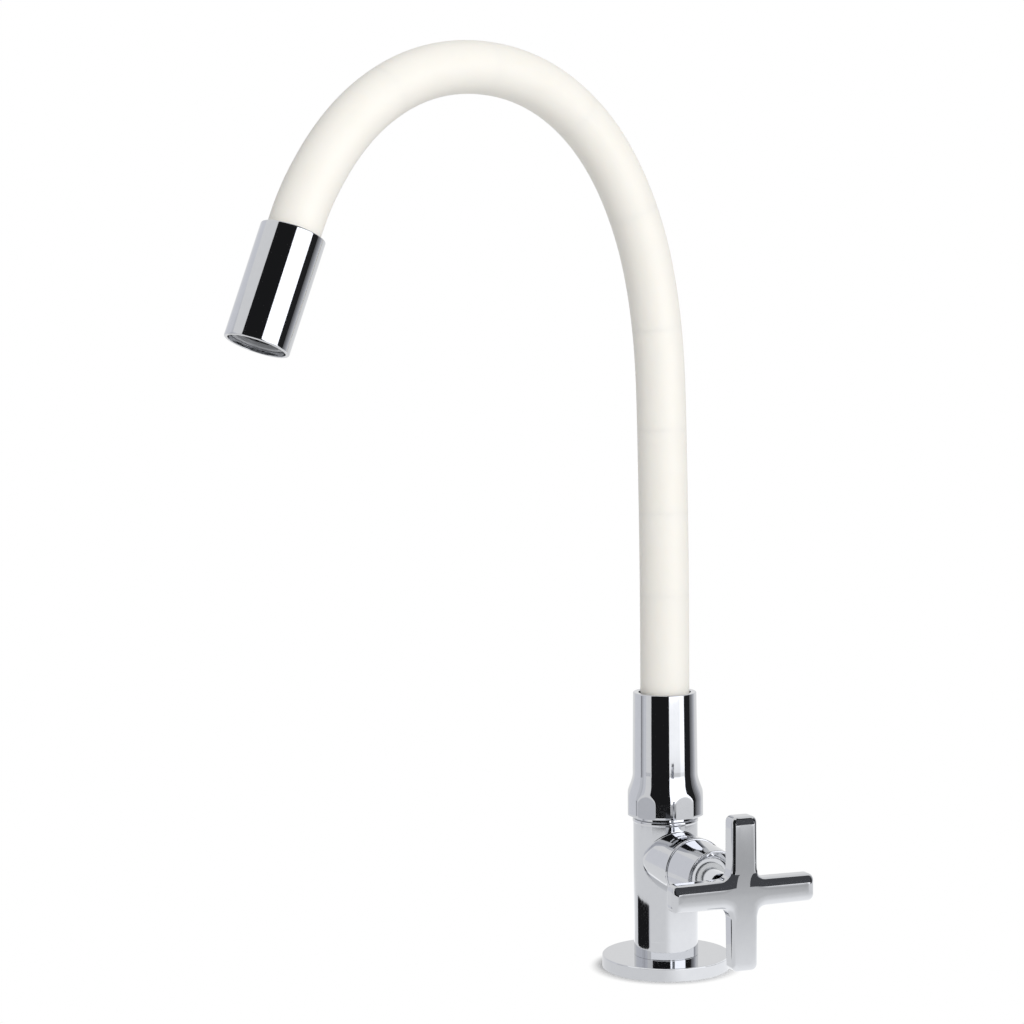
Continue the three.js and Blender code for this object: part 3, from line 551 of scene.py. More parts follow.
ON_AXIS = Matrix.Identity(4)
BRANCH = (
    Matrix.Translation((0, 0, BRANCH_HEIGHT))
    @ Matrix.Rotation(radians(BRANCH_AZIMUTH), 4, "Z")
    @ Matrix.Rotation(pi / 2, 4, "Y")
)


# Base flange, gasket, shank and clamp

flange = spun(eased([
    (FLANGE_BORE, 0, 0.1), (RECESS_INNER, 0, 0.1), (RECESS_INNER, RECESS_HEIGHT, 0.1),
    (RECESS_OUTER, RECESS_HEIGHT, 0.1), (RECESS_OUTER, 0, 0.1), (FLANGE_RADIUS, 0, 0.4),
    (FLANGE_RADIUS, FLANGE_HEIGHT, 0.45), (FLANGE_BORE, FLANGE_HEIGHT, 0.2),
], steps=6))
riding("round_base_flange", flange, ON_AXIS, "chrome", "tap_body", "base_flange")

gasket = spun(eased([
    (GASKET_INNER, 0, 0.3), (GASKET_OUTER, 0, 0.3),
    (GASKET_OUTER, GASKET_THICK, 0.3), (GASKET_INNER, GASKET_THICK, 0.3),
]))
riding("foot_gasket", gasket, ON_AXIS, "rubber", "tap_body", "flange_gasket")


def threaded_shank():
    """A turned tube with a helical thread that fades out at both its ends."""
    low, high = SHANK_BOTTOM + SHANK_CHAMFER, THREAD_TOP
    rows = [(SHANK_RADIUS, z) for z in rows_between(low, high, THREAD_PITCH / THREAD_ROWS)]
    form = spun([
        (SHANK_BORE, SHANK_BOTTOM), (SHANK_TIP, SHANK_BOTTOM), *rows,
        (SHANK_RADIUS, SHANK_TOP), (SHANK_BORE, SHANK_TOP),
    ], steps=72)
    for vert in form.verts:
        height, out = vert.co.z, hypot(vert.co.x, vert.co.y)
        if out < SHANK_RADIUS - HAIR or not low + HAIR < height < high - HAIR:
            continue
        lap = (height / THREAD_PITCH - atan2(vert.co.y, vert.co.x) / (2 * pi)) % 1.0
        fade = min(1.0, (height - low) / THREAD_PITCH, (high - height) / THREAD_PITCH)
        sunk = THREAD_DEPTH * fade * min(1.0, abs(2 * lap - 1) * THREAD_STEEPNESS)
        vert.co.x *= (SHANK_RADIUS - sunk) / out
        vert.co.y *= (SHANK_RADIUS - sunk) / out
    return form


riding("threaded_inlet_shank", threaded_shank(), ON_AXIS, "brass", "tap_body", "inlet_shank")

for slot, top, thick, radius in (
    ("rubber", RUBBER_TOP, RUBBER_THICK, RUBBER_RADIUS),
    ("steel", STEEL_TOP, STEEL_THICK, STEEL_RADIUS),
):
    washer = spun(eased([
        (WASHER_BORE, top - thick, 0.2), (radius, top - thick, 0.3),
        (radius, top, 0.3), (WASHER_BORE, top, 0.2),
    ]))
    riding(f"{slot}_clamp_washer", washer, ON_AXIS, slot, "tap_body", f"deck_{slot}_washer")

nut_bottom = NUT_TOP - NUT_HEIGHT
nut_corner = NUT_HALF / cos(pi / 6)
nut_face = nut_corner - NUT_CHAMFER_WIDTH
nut = hexed(spun(eased([
    (WASHER_BORE, nut_bottom, 0.6), (nut_face, nut_bottom, 0),
    (nut_corner, nut_bottom + NUT_CHAMFER_HEIGHT, 0), (nut_corner, NUT_TOP - NUT_CHAMFER_HEIGHT, 0),
    (nut_face, NUT_TOP, 0), (WASHER_BORE, NUT_TOP, 0.6),
])), NUT_HALF)
riding("hexagon_fixing_nut", nut, ON_AXIS, "brass", "tap_body", "fixing_nut")


# Valve body and its branch, one casting

body_form = spun(eased([
    (INLET_BORE, BODY_BOTTOM, 0.1), (BODY_RADIUS, BODY_BOTTOM, 0.06),
    (BODY_RADIUS, BEAD_FOOT, 0.3), (BEAD_RADIUS, BEAD_EDGE, 0.2), (BEAD_RADIUS, BODY_TOP, 0.35),
    (SHOULDER_RADIUS, BODY_TOP, 0.15), (SHOULDER_RADIUS, SHOULDER_TOP, 0.25),
    (NECK_RADIUS, SHOULDER_TOP, 0), (NECK_RADIUS, NECK_TOP, 0.5), (NECK_BORE, NECK_TOP, 0.4),
    (NECK_BORE, NECK_FLOOR, 0), (WATERWAY, NECK_FLOOR, 0),
    (WATERWAY, INLET_TOP, 0), (INLET_BORE, INLET_TOP, 0),
]), steps=180)
riding("upright_valve_body", body_form, ON_AXIS, "chrome", "tap_body", "valve_body")


def following(ring, fresh):
    """The new ring's points in the order of the ring that they were extruded from."""
    fresh = set(fresh)
    return [next(e.other_vert(v) for e in v.link_edges if e.other_vert(v) in fresh) for v in ring]


def ring_edges(form, ring):
    """The edges between a closed ring's neighbours."""
    return [form.edges.get((v, ring[(k + 1) % len(ring)])) for k, v in enumerate(ring)]


def grown(form, ring, row):
    """Extrudes a closed ring of points once and puts the new ring in the places of a row."""
    made = bmesh.ops.extrude_edge_only(form, edges=ring_edges(form, ring))["geom"]
    ring = following(ring, [v for v in made if isinstance(v, bmesh.types.BMVert)])
    for vert, place in zip(ring, row):
        vert.co = place
    return ring


def skinned(rows, closed=False):
    """A form through rings of places: its ends are capped, or joined to each other if closed."""
    form = bmesh.new()
    made = bmesh.ops.create_circle(form, cap_ends=False, segments=len(rows[0]), radius=1.0)["verts"]
    first = sorted(made, key=lambda v: atan2(v.co.y, v.co.x) % (2 * pi))
    for vert, place in zip(first, rows[0]):
        vert.co = place
    ring = first
    for row in rows[1:]:
        ring = grown(form, ring, row)
    if closed:
        bmesh.ops.bridge_loops(form, edges=ring_edges(form, first) + ring_edges(form, ring))
    else:
        bmesh.ops.holes_fill(form, edges=form.edges, sides=0)
    bmesh.ops.recalc_face_normals(form, faces=form.faces)
    return form


def branch_radius(along):
    """The branch widens evenly from its root to its mouth."""
    return BRANCH_ROOT + (BRANCH_MOUTH - BRANCH_ROOT) * along / BRANCH_REACH


def fillet_row(angle, share):
    """A point of the rolling fillet between the upright body and the branch, in branch axes."""
    rolled = BRANCH_ROOT + BRANCH_FILLET + FILLET_LIFT
    side, up = rolled * sin(angle), rolled * cos(angle)
    out = sqrt((BODY_RADIUS + BRANCH_FILLET) ** 2 - side * side)
    to_body = Vector((0, -side, -out)).normalized()
    to_branch = Vector((up, -side, 0)).normalized()
    swing = to_body.angle(to_branch)
    arm = (to_body * sin((1 - share) * swing) + to_branch * sin(share * swing)) / sin(swing)
    return Vector((-up, side, out)) + arm * BRANCH_FILLET


def branch_shell():
    """The branch from its fillet on the body to its mouth, and back inside as the thread bore."""
    angles = [2 * pi * k / BRANCH_SIDES for k in range(BRANCH_SIDES)]

    def circle(along, radius):
        return [Vector((-radius * cos(a), radius * sin(a), along)) for a in angles]

    rows = [
        [fillet_row(angle, k / FILLET_STEPS) for angle in angles] for k in range(FILLET_STEPS + 1)
    ]
    root = rows[-1]
    for share in CONE_SHARES:
        row = []
        for angle, foot in zip(angles, root):
            along = foot.z + (BRANCH_REACH - MOUTH_EDGE - foot.z) * share
            radius = branch_radius(along)
            row.append(Vector((-radius * cos(angle), radius * sin(angle), along)))
        rows.append(row)
    rows += [circle(BRANCH_REACH - short, BRANCH_MOUTH - inset) for short, inset in MOUTH_ROUNDING]
    rows += [circle(BRANCH_REACH, BRANCH_BORE), circle(BRANCH_FLOOR, BRANCH_BORE)]
    return skinned(rows)


riding("side_branch", branch_shell(), BRANCH, "chrome", "tap_body")


# Bonnet, lock ring, stem and clip, along the branch

bonnet = spun(eased([
    (BONNET_THREAD, BONNET_BACK, 0.2), (BONNET_BACK_RADIUS, BONNET_BACK, 0.45),
    (BONNET_FRONT_RADIUS, BONNET_FRONT, 0.45), (BONNET_MOUTH, BONNET_FRONT, 0.3),
    (BONNET_MOUTH, BONNET_FLOOR, 0.2), (BONNET_BORE, BONNET_FLOOR, 0.1),
    (BONNET_BORE, BONNET_SEAT, 0.1), (BONNET_THREAD, BONNET_SEAT, 0.1),
]), steps=160)
riding("tapered_bonnet", bonnet, BRANCH, "chrome", "tap_body", "bonnet")

lock_nut = hexed(spun(eased([
    (LOCK_BORE, LOCK_BACK, 0.1), (LOCK_RADIUS, LOCK_BACK, 0.2), (LOCK_RADIUS, LOCK_FRONT, 0.3),
    (LOCK_COLLAR, LOCK_FRONT, 0.1), (LOCK_COLLAR, LOCK_COLLAR_FRONT, 0.25),
    (LOCK_BORE, LOCK_COLLAR_FRONT, 0.1),
]), steps=160), LOCK_HALF)
riding("bonnet_lock_ring", lock_nut, BRANCH, "chrome", "tap_body", "bonnet_lock_nut")

stem_form = spun(eased([
    (0, STEM_BACK, 0), (DRIVER_RADIUS, STEM_BACK, 0.2), (DRIVER_RADIUS, DRIVER_FRONT, 0.3),
    (GUIDE_RADIUS, DRIVER_FRONT, 0.1), (GUIDE_RADIUS, SEAL_GROOVE_BACK, 0.1),
    (SEAL_GROOVE, SEAL_GROOVE_BACK, 0.1), (SEAL_GROOVE, SEAL_GROOVE_FRONT, 0.1),
    (GUIDE_RADIUS, SEAL_GROOVE_FRONT, 0.1), (GUIDE_RADIUS, GUIDE_FRONT, 0.3),
    (STEM_RADIUS, GUIDE_FRONT, 0.1), (STEM_RADIUS, CLIP_GROOVE_BACK, 0.1),
    (CLIP_GROOVE, CLIP_GROOVE_BACK, 0.1), (CLIP_GROOVE, CLIP_GROOVE_FRONT, 0.1),
    (STEM_RADIUS, CLIP_GROOVE_FRONT, 0.15), (STEM_RADIUS, STEM_FRONT, 0.3), (0, STEM_FRONT, 0),
]), steps=96)
riding("polished_stem", stem_form, BRANCH, "chrome", "valve_handle", "cartridge_stem")

clip_form = spun(eased([
    (CLIP_BORE, CLIP_BACK, 0.08), (CLIP_RADIUS, CLIP_BACK, 0.15),
    (CLIP_RADIUS, CLIP_FRONT, 0.15), (CLIP_BORE, CLIP_FRONT, 0.08),
]), steps=96)
riding("stem_clip_ring", clip_form, BRANCH, "steel", "valve_handle", "stem_retaining_clip")


# Cross handle: rings of a cross outline, from the back face round the edge to the domed front

def inner_arc(x, y, radius, start, stop):
    """Points of an arc about (x, y) between two angles, without its ends."""
    angles = [start + (stop - start) * k / HANDLE_STEPS for k in range(1, HANDLE_STEPS)]
    return [(x + radius * cos(angle), y + radius * sin(angle)) for angle in angles]


def cross_ring(inset):
    """The cross outline pulled in by a distance, always with the same count of points."""
    root, tip = ARM_HALF - inset, TIP_HALF - inset
    corner = min(TIP_CORNER - TIP_CORNER_LOSS * inset, tip)
    fillet = INNER_FILLET + inset
    foot, end = root + fillet, HANDLE_SPAN / 2 - inset
    length = end - corner - foot
    shares = [k / HANDLE_STEPS for k in range(HANDLE_STEPS + 1)]
    arm = [(foot + length * share, -(root + (tip - root) * share)) for share in shares]
    arm += inner_arc(end - corner, corner - tip, corner, -pi / 2, 0)
    arm += [(end, (tip - corner) * (2 * share - 1)) for share in shares]
    arm += inner_arc(end - corner, tip - corner, corner, 0, pi / 2)
    arm += [(foot + length * share, root + (tip - root) * share) for share in reversed(shares)]
    arm += inner_arc(foot, foot, fillet, -pi / 2, -pi)
    quarters = [Matrix.Rotation(quarter * pi / 2, 2) for quarter in range(4)]
    return [turn @ Vector(point) for turn in quarters for point in arm]


def edge_share(point):
    """Share of the full front rounding at a point of the outline: less on the upright arms."""
    upright = min(max((abs(point.y) - abs(point.x) - UPRIGHT_FROM) / UPRIGHT_OVER, 0.0), 1.0)
    return 1.0 - (1.0 - UPRIGHT_EDGE / HANDLE_EDGE) * upright * upright * (3 - 2 * upright)


def handle_form():
    """The handle along the branch's axis; an arm's own outline runs along x in cross_ring."""
    back, top = HANDLE_FRONT - HANDLE_THICK, HANDLE_FRONT - FACE_DOME
    stations = [(inset, back) for inset in (BACK_RING, BACK_EDGE + EDGE_MARGIN, BACK_EDGE)]
    for k in range(1, BACK_EDGE_STEPS + 1):
        turn = k * pi / (2 * BACK_EDGE_STEPS)
        stations.append((BACK_EDGE * (1 - sin(turn)), back + BACK_EDGE * (1 - cos(turn))))
    stations.append((0.0, back + BACK_EDGE + EDGE_MARGIN))
    rows = [[Vector((-p.y, p.x, z)) for p in cross_ring(inset)] for inset, z in stations]

    front = [(0.0, -HANDLE_EDGE - EDGE_MARGIN)]
    for k in range(HANDLE_EDGE_STEPS + 1):
        turn = k * pi / (2 * HANDLE_EDGE_STEPS)
        front.append((HANDLE_EDGE * (1 - cos(turn)), HANDLE_EDGE * (sin(turn) - 1)))
    for k in range(1, DOME_STEPS + 1):
        rise = FACE_DOME * (1 - (1 - k / DOME_STEPS) ** 2)
        front.append((HANDLE_EDGE + DOME_STEP * k, rise))
    outline = cross_ring(0.0)
    shares = [edge_share(point) for point in outline]
    for inset, rise in front:
        row = []
        for outer, inner, share in zip(outline, cross_ring(inset), shares):
            place = outer.lerp(inner, share)
            row.append(Vector((-place.y, place.x, top + rise * (share if rise < 0 else 1.0))))
        rows.append(row)
    return skinned(rows)


riding("cross_handle_casting", handle_form(), BRANCH, "chrome", "valve_handle", "cross_handle")


# Coupling nut

flare = []
for k in range(FLARE_STEPS + 1):
    drop = (1 - cos(pi * k / FLARE_STEPS)) / 2
    radius = HEX_RADIUS - (HEX_RADIUS - SLEEVE_FOOT) * drop
    flare.append((radius, FLARE_BOTTOM + FLARE_HEIGHT * k / FLARE_STEPS))
coupling_foot = eased([
    (COUPLING_THREAD, COUPLING_BOTTOM, 0.3), (HEX_RADIUS, COUPLING_BOTTOM, 0.35),
    (HEX_RADIUS, HEX_EDGE_TO, 0),
])[:-1]
coupling_sleeve = eased([
    (SLEEVE_FOOT, SLEEVE_FROM, 0), (SLEEVE_RIM, COUPLING_TOP, 0.4),
    (COUPLING_MOUTH, COUPLING_TOP, 0.3), (COUPLING_MOUTH, WAIST_TOP, 0),
    (COUPLING_WAIST, WAIST_TOP, 0.1), (COUPLING_WAIST, WAIST_BOTTOM, 0.1),
    (COUPLING_THREAD, WAIST_BOTTOM, 0),
], steps=5)
hexagon = [(HEX_RADIUS, z) for z in rows_between(HEX_FROM, HEX_TO, HEX_STEP)]
coupling = hexed(
    spun(coupling_foot + hexagon + flare + coupling_sleeve, steps=288), HEX_HALF, HEX_SOFTNESS
)
bmesh.ops.rotate(
    coupling, verts=coupling.verts, cent=(0, 0, 0),
    matrix=Matrix.Rotation(radians(COUPLING_HEX_AZIMUTH + 30), 3, "Z"),
)
riding(
    "ogee_coupling_nut", coupling, ON_AXIS, "chrome", "tap_body", "coupling_nut",
    sharp=COUPLING_SHARP_ANGLE,
)


# Hose: one smooth route, cut in pieces between the middles of its sections

JOINTS_ALONG = [FIRST_BEND - HOSE_BOTTOM]
for length, _ in HOSE_SECTIONS:
    JOINTS_ALONG.append(JOINTS_ALONG[-1] + length)
HOSE_LENGTH = JOINTS_ALONG[-1] + HOSE_INSERTION


def sharp_heading(along):
    """The heading of the CAD route, which bends only in the middle of each section."""
    heading = 0.0
    for start, (length, bend) in zip(JOINTS_ALONG, HOSE_SECTIONS):
        run = length - SOCKET_LEAD - BALL_LEAD
        share = min(max((along - start - SOCKET_LEAD) / run, 0.0), 1.0)
        heading += radians(bend) * share
    return heading


def smooth_heading(along, reach=24.0, samples=33, least=0.1):
    """The same heading averaged over a stretch that shrinks to nothing at the outlet."""
    near = min(reach, max(JOINTS_ALONG[-1] - along, least))
    offsets = [near * (2 * k / (samples - 1) - 1) for k in range(samples)]
    return sum(sharp_heading(along + offset) for offset in offsets) / samples


def traced(heading_at):
    """Length along the hose, reach, height and heading, every half millimetre."""
    reach, height, along = 0.0, HOSE_BOTTOM, 0.0
    rows = [(along, reach, height, heading_at(0.0))]
    while along < HOSE_LENGTH - TOUCH:
        heading = heading_at(along + ROUTE_STEP / 2)
        reach += ROUTE_STEP * sin(heading)
        height += ROUTE_STEP * cos(heading)
        along += ROUTE_STEP
        rows.append((along, reach, height, heading_at(along)))
    return rows


plain_route = traced(sharp_heading)
fair_route = traced(smooth_heading)
drift = [plain_route[-1][1] - fair_route[-1][1], plain_route[-1][2] - fair_route[-1][2]]


def route(along):
    """Place in mm and heading of the hose's centre line, faired, meeting the CAD's ends."""
    spot = min(max(along / ROUTE_STEP, 0.0), len(fair_route) - 1 - HAIR)
    k = int(spot)
    (_, r0, z0, h0), (_, r1, z1, h1) = fair_route[k], fair_route[k + 1]
    share = spot - k
    pull = along / HOSE_LENGTH
    reach = r0 + (r1 - r0) * share + drift[0] * pull
    height = z0 + (z1 - z0) * share + drift[1] * pull
    return Vector((0, -reach, height)), h0 + (h1 - h0) * share


def hose_ring(along, radius, around=72):
    """A ring of places round the hose's centre line, square to it."""
    centre, heading = route(along)
    back = Vector((0, cos(heading), sin(heading)))
    side = Vector((1, 0, 0))
    turns = [2 * pi * k / around for k in range(around)]
    return [centre + side * radius * cos(turn) + back * radius * sin(turn) for turn in turns]


MID_ALONG = [0.0] + [(a + b) / 2 for a, b in zip(JOINTS_ALONG, JOINTS_ALONG[1:])]
MID_ALONG[-1] = HOSE_LENGTH
BODIES = ["spout_base"] + [f"hose_{k}" for k in range(1, 10)]
LAST_SKIN = len(BODIES) - 2

for k, (low, high) in enumerate(zip(MID_ALONG, MID_ALONG[1:])):
    stations = rows_between(low, high, HOSE_STEP)
    bends_from, bends_to = low + BLEND_MARGIN, high - BLEND_MARGIN
    if k == 0:
        stations = CRIMPED_STATIONS + rows_between(PLAIN_FROM, high, HOSE_STEP)
        bends_from = COUPLING_TOP - HOSE_BOTTOM + BLEND_MARGIN
    if k == LAST_SKIN:
        bends_to = JOINTS_ALONG[-1] - OUTLET_MARGIN
    rows = [hose_ring(a, CRIMPED_RADIUS if a < CRIMPED_TO else HOSE_RADIUS) for a in stations]
    rows += [hose_ring(a, HOSE_BORE) for a in reversed(stations)]
    skin = skinned(rows, closed=True)
    piece = placed_piece(f"hose_skin_{k + 1}", skin, ON_AXIS, "silicone")
    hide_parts(f"hose_sleeve_{k}", *(["hose_sleeve_9"] if k == LAST_SKIN else []))
    start, finish_at = route(bends_from)[0], route(bends_to)[0]
    BODIES[k + 1]
    start * MM
    finish_at * MM
    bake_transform(piece)

crimp = spun(eased([
    (CRIMP_BORE, CRIMP_BOTTOM, 0.05), (CRIMP_RADIUS, CRIMP_BOTTOM, 0.15),
    (CRIMP_RADIUS, CRIMP_TOP, 0.15), (CRIMP_BORE, CRIMP_TOP, 0.05),
]))
riding("hose_crimp_band", crimp, ON_AXIS, "steel", "spout_base", "hose_crimp_ring")


# Outlet sleeve and aerator, in the frame of the hose's end

last_along, last_reach, last_height, end_heading = plain_route[-1]
step_back = last_along - JOINTS_ALONG[-1]
end_reach = last_reach - step_back * sin(end_heading)
end_height = last_height - step_back * cos(end_heading)
OUTLET = Matrix.Translation((0, -end_reach, end_height)) @ Matrix.Rotation(end_heading, 4, "X")

outlet = spun(eased([
    (OUTLET_BORE, 0, 0.25), (OUTLET_RADIUS, 0, 0.45), (OUTLET_RADIUS, OUTLET_LENGTH, 0.45),
    (OUTLET_MOUTH, OUTLET_LENGTH, 0.2), (OUTLET_MOUTH, OUTLET_SEAT_FRONT, 0.1),
    (OUTLET_SEAT, OUTLET_SEAT_FRONT, 0.1), (OUTLET_SEAT, OUTLET_SEAT_BACK, 0.1),
    (OUTLET_BORE, OUTLET_SEAT_BACK, 0.1),
], steps=5), steps=192)
riding("polished_outlet_sleeve", outlet, OUTLET, "chrome", "hose_9", "outlet_sleeve")

housing = spun(eased([
    (AERATOR_INLET, AERATOR_BACK, 0.1), (AERATOR_RADIUS, AERATOR_BACK, 0.2),
    (AERATOR_RADIUS, AERATOR_FRONT, 0.3), (AERATOR_LIP, AERATOR_FRONT, 0.3),
    (AERATOR_LIP, AERATOR_LIP_BACK, 0.1), (AERATOR_BORE, AERATOR_LIP_BACK, 0.1),
    (AERATOR_BORE, AERATOR_FLOOR, 0.1), (AERATOR_INLET, AERATOR_FLOOR, 0.1),
]))
riding("aerator_ring", housing, OUTLET, "grey_plastic", "hose_9", "aerator_housing")


# Stage: pale floor, white surroundings, a soft lamp, and the cards that polished metal mirrors.
# Azimuths are in degrees, counted from the camera to its right.

CARD_DISTANCE = 1000
CARD_LOW, CARD_HIGH = -400, 700
ROOM_HIGH = 1500
ROOF_INNER = 300
LEFT_SPLIT = 10
LOW_GREY_HIGH = -97
LAMP_WHITE = rgb(0.985, 0.99, 1.0)

# Name, first and last azimuth, shade, lowest and highest point
FAR_CARDS = (
    ("dark_room", -53, -20, 0.014, CARD_LOW, ROOM_HIGH),
    ("dark_room_near", -20, 12, 0.014, CARD_LOW, ROOM_HIGH),
    ("soft_box", 12, 69, 1.9, CARD_LOW, CARD_HIGH),
    ("dark_gap", 69, 97, 0.02, CARD_LOW, CARD_HIGH),
    ("side_grey_0", 97, 104, 0.18, CARD_LOW, CARD_HIGH),
    ("side_grey_1", 104, 112, 0.3, CARD_LOW, CARD_HIGH),
    ("side_grey_2", 112, 120, 0.45, CARD_LOW, CARD_HIGH),
    ("side_grey_3", 120, 128, 0.64, CARD_LOW, CARD_HIGH),
    ("side_grey_4", -84, -74, 0.76, CARD_LOW, CARD_HIGH),
    ("side_grey_5", -90, -84, 0.64, CARD_LOW, CARD_HIGH),
    ("side_grey_6", -140, -99, 0.79, CARD_LOW, CARD_HIGH),
    ("left_line", -99, -95, 0.24, CARD_LOW, LEFT_SPLIT),
    ("left_line_side", -95, -90, 0.48, CARD_LOW, LEFT_SPLIT),
    ("left_grey", -99, -90, 0.7, LEFT_SPLIT, CARD_HIGH),
)

# A dark object 0.8 m away, which the body mirrors through an opening in the table
DARK_AZIMUTHS = range(-125, -66, 2)
DARK_REACH = 800
DARK_HEIGHTS = (-260, -140)
OPENING_NEAR = (
    (-129, 41.5), (-125, 41.5), (-120, 37.9), (-112, 36.9), (-95, 35.9),
    (-80, 35.5), (-72, 36.1), (-67, 38.5), (-63, 38.5),
)
OPENING_FAR = (
    (-63, 112), (-67, 113), (-72, 114.5), (-80, 116.5), (-95, 120.5),
    (-112, 124.2), (-120, 126.2), (-125, 127.5), (-129, 128.5),
)

# Dark arcs round the upper edges of the handle's arms
HOOD_FROM = -4
HOOD_STEPS = 5
ARM_HOOD_RADIUS = 6.0
ARM_HOOD_TURN = 80
TIP_HOOD_RADIUS = 5.0
TIP_HOOD_TURN = 46

# Light before the lock ring, and before the body's foot
STEM_LIGHT_ALONG = 43.0
STEM_LIGHT_RADII = (4.1, 7.6)
STEM_LIGHT_SIDES = 36
FOOT_AZIMUTHS = range(-60, 116, 5)
FOOT_HEIGHT, FOOT_REACHES, FOOT_STRENGTH = 8.5, (14.4, 30), 1.3
FOOT_TOP_HEIGHT, FOOT_TOP_REACHES = 8.55, (14.3, 31)

# The mirrored table: a disc round the tap, and its lit side further out
TABLE_RADIUS = 292
TABLE_TURN = 5
LIT_TABLE_FROM = (12, 31, 50)
LIT_TABLE_WIDTH = 19
LIT_TABLE_INNER, LIT_TABLE_OUTER = 289, 830

# What the mirrored table adds to its glow: azimuths in the CAD's frame, distances in metres
TABLE_GLOW = 0.88
LIT_SIDE_FROM = (-48, -22)
NEAR_GLOW, NEAR_TABLE = 0.3, (0.06, 0.2)
MIDDLE_LOSS, MIDDLE_TABLE, MIDDLE_TO = 0.34, (0.17, 0.31), (9, 17)
FAR_GLOW, FAR_TABLE = 0.85, (0.33, 0.6)

# The floor turns plain white between these squares of the distance from the axis, in square metres.
FLOOR_FADE = (0.0006, 0.00095)
FLOOR_RADIUS = 0.75

FILL_STRENGTH = 0.52
SURROUNDINGS = 0.88
SEEN_SURROUNDINGS = 0.12


def reflected_only(name, form, material):
    """Stage that only mirror reflections show."""
    mesh = mesh_of(name, form)
    mesh.materials.append(material)
    made = linked(name, mesh)
    made.visible_camera = False
    made.visible_diffuse = False
    made.visible_shadow = False
    made.visible_transmission = False


def card(name, rows, material):
    """A card of faces between rows of corners."""
    form = bmesh.new()
    made = [[form.verts.new(Vector(corner) * MM) for corner in row] for row in rows]
    for low, high in zip(made, made[1:]):
        for k in range(len(low) - 1):
            form.faces.new((low[k], low[k + 1], high[k + 1], high[k]))
    reflected_only(name, form, material)


def emptied(name):
    """A new material without nodes, and a wire to build them with."""
    material = bpy.data.materials.new(name)
    material.use_nodes = True
    material.node_tree.nodes.clear()
    return material, Wire(material.node_tree)


def shines(wire, shade, strength):
    """Light as the whole of a material."""
    glow = wire.node("ShaderNodeEmission", {}, {"Color": shade, "Strength": strength})
    wire.node("ShaderNodeOutputMaterial", {}, {"Surface": glow})


def glowing(name, shade, strength=1.0):
    """A card's material: plain light of one shade."""
    material, wire = emptied(name)
    shines(wire, shade, strength)
    return material


def around_tap(azimuth, distance, height):
    """A point round the tap's axis."""
    turn = radians(CAMERA_AZIMUTH - 90 + azimuth)
    return (distance * cos(turn), distance * sin(turn), height)


def mirrored_in_body(azimuth, reach, height):
    """A point that the upright body mirrors towards the camera, a distance along that ray."""
    x, y, _ = around_tap(azimuth / 2, BODY_RADIUS, 0)
    ahead_x, ahead_y, _ = around_tap(azimuth, reach, 0)
    return (x + ahead_x, y + ahead_y, height)


def handle_point(across, up, out):
    """A point across and up from the handle's middle, at a distance in front of its face."""
    return BRANCH @ Vector((-up, across, HANDLE_FRONT + out))


def fan_card(name, first, last, low, high, material):
    """A card between two azimuths, from one (distance, height) to another."""
    card(name, [
        (around_tap(first, *low), around_tap(last, *low)),
        (around_tap(first, *high), around_tap(last, *high)),
    ], material)


def far_card(name, first, last, shade, low, high):
    """An upright card a metre away, of one bluish grey."""
    bluish = glowing(name, rgb(shade, shade * 1.01, shade * 1.06))
    fan_card(name, first, last, (CARD_DISTANCE, low), (CARD_DISTANCE, high), bluish)


def hood(name, ends, up, radius, last_turn):
    """A dark arc round the upper edge of an arm, which that edge's rounding mirrors."""
    rows = []
    for k in range(HOOD_STEPS + 1):
        turn = radians(HOOD_FROM + (last_turn - HOOD_FROM) * k / HOOD_STEPS)
        rise, out = radius * sin(turn) - HANDLE_EDGE, radius * cos(turn) - HANDLE_EDGE
        rows.append([handle_point(across, up + rise, out) for across in ends])
    card(name, rows, dim_card)


def table_glow():
    """What polished metal mirrors of the table: brighter near the tap and on its lit side."""
    material, wire = emptied("table_glow")
    place = places(wire)
    x, y = place.part_of(0), place.part_of(1)
    distance = wire.sum_of("SQRT", x * x + y * y)
    turn = wire.sum_of("ARCTAN2", y, x)
    lit = turn.between(*map(radians, LIT_SIDE_FROM))
    near = 1.0 - distance.between(*NEAR_TABLE)
    middle = distance.between(*MIDDLE_TABLE) * (1.0 - turn.between(*map(radians, MIDDLE_TO)))
    far = distance.between(*FAR_TABLE)
    shines(
        wire, LAMP_WHITE,
        TABLE_GLOW + lit * (NEAR_GLOW * near - MIDDLE_LOSS * middle + FAR_GLOW * far),
    )
    return material


def table_with_opening(name, rim, opening, material):
    """The table round the tap, with an opening through which the body mirrors the dark object."""
    form = bmesh.new()
    edges = []
    for outline in (rim, opening):
        corners = [form.verts.new(Vector(corner) * MM) for corner in outline]
        edges += [form.edges.new(pair) for pair in zip(corners, corners[1:] + corners[:1])]
    bmesh.ops.triangle_fill(form, use_beauty=True, edges=edges)
    reflected_only(name, form, material)


for row in FAR_CARDS:
    far_card(*row)

black_card = glowing("black_card", rgb(0.014, 0.014, 0.015))
fan_card("dark_roof", 12, 80, (CARD_DISTANCE, CARD_HIGH), (ROOF_INNER, ROOM_HIGH), black_card)
far_card("low_grey", -76, -56, 0.62, CARD_LOW, LOW_GREY_HIGH)
card("dark_object", [
    [mirrored_in_body(azimuth, DARK_REACH, height) for azimuth in DARK_AZIMUTHS]
    for height in DARK_HEIGHTS
], black_card)

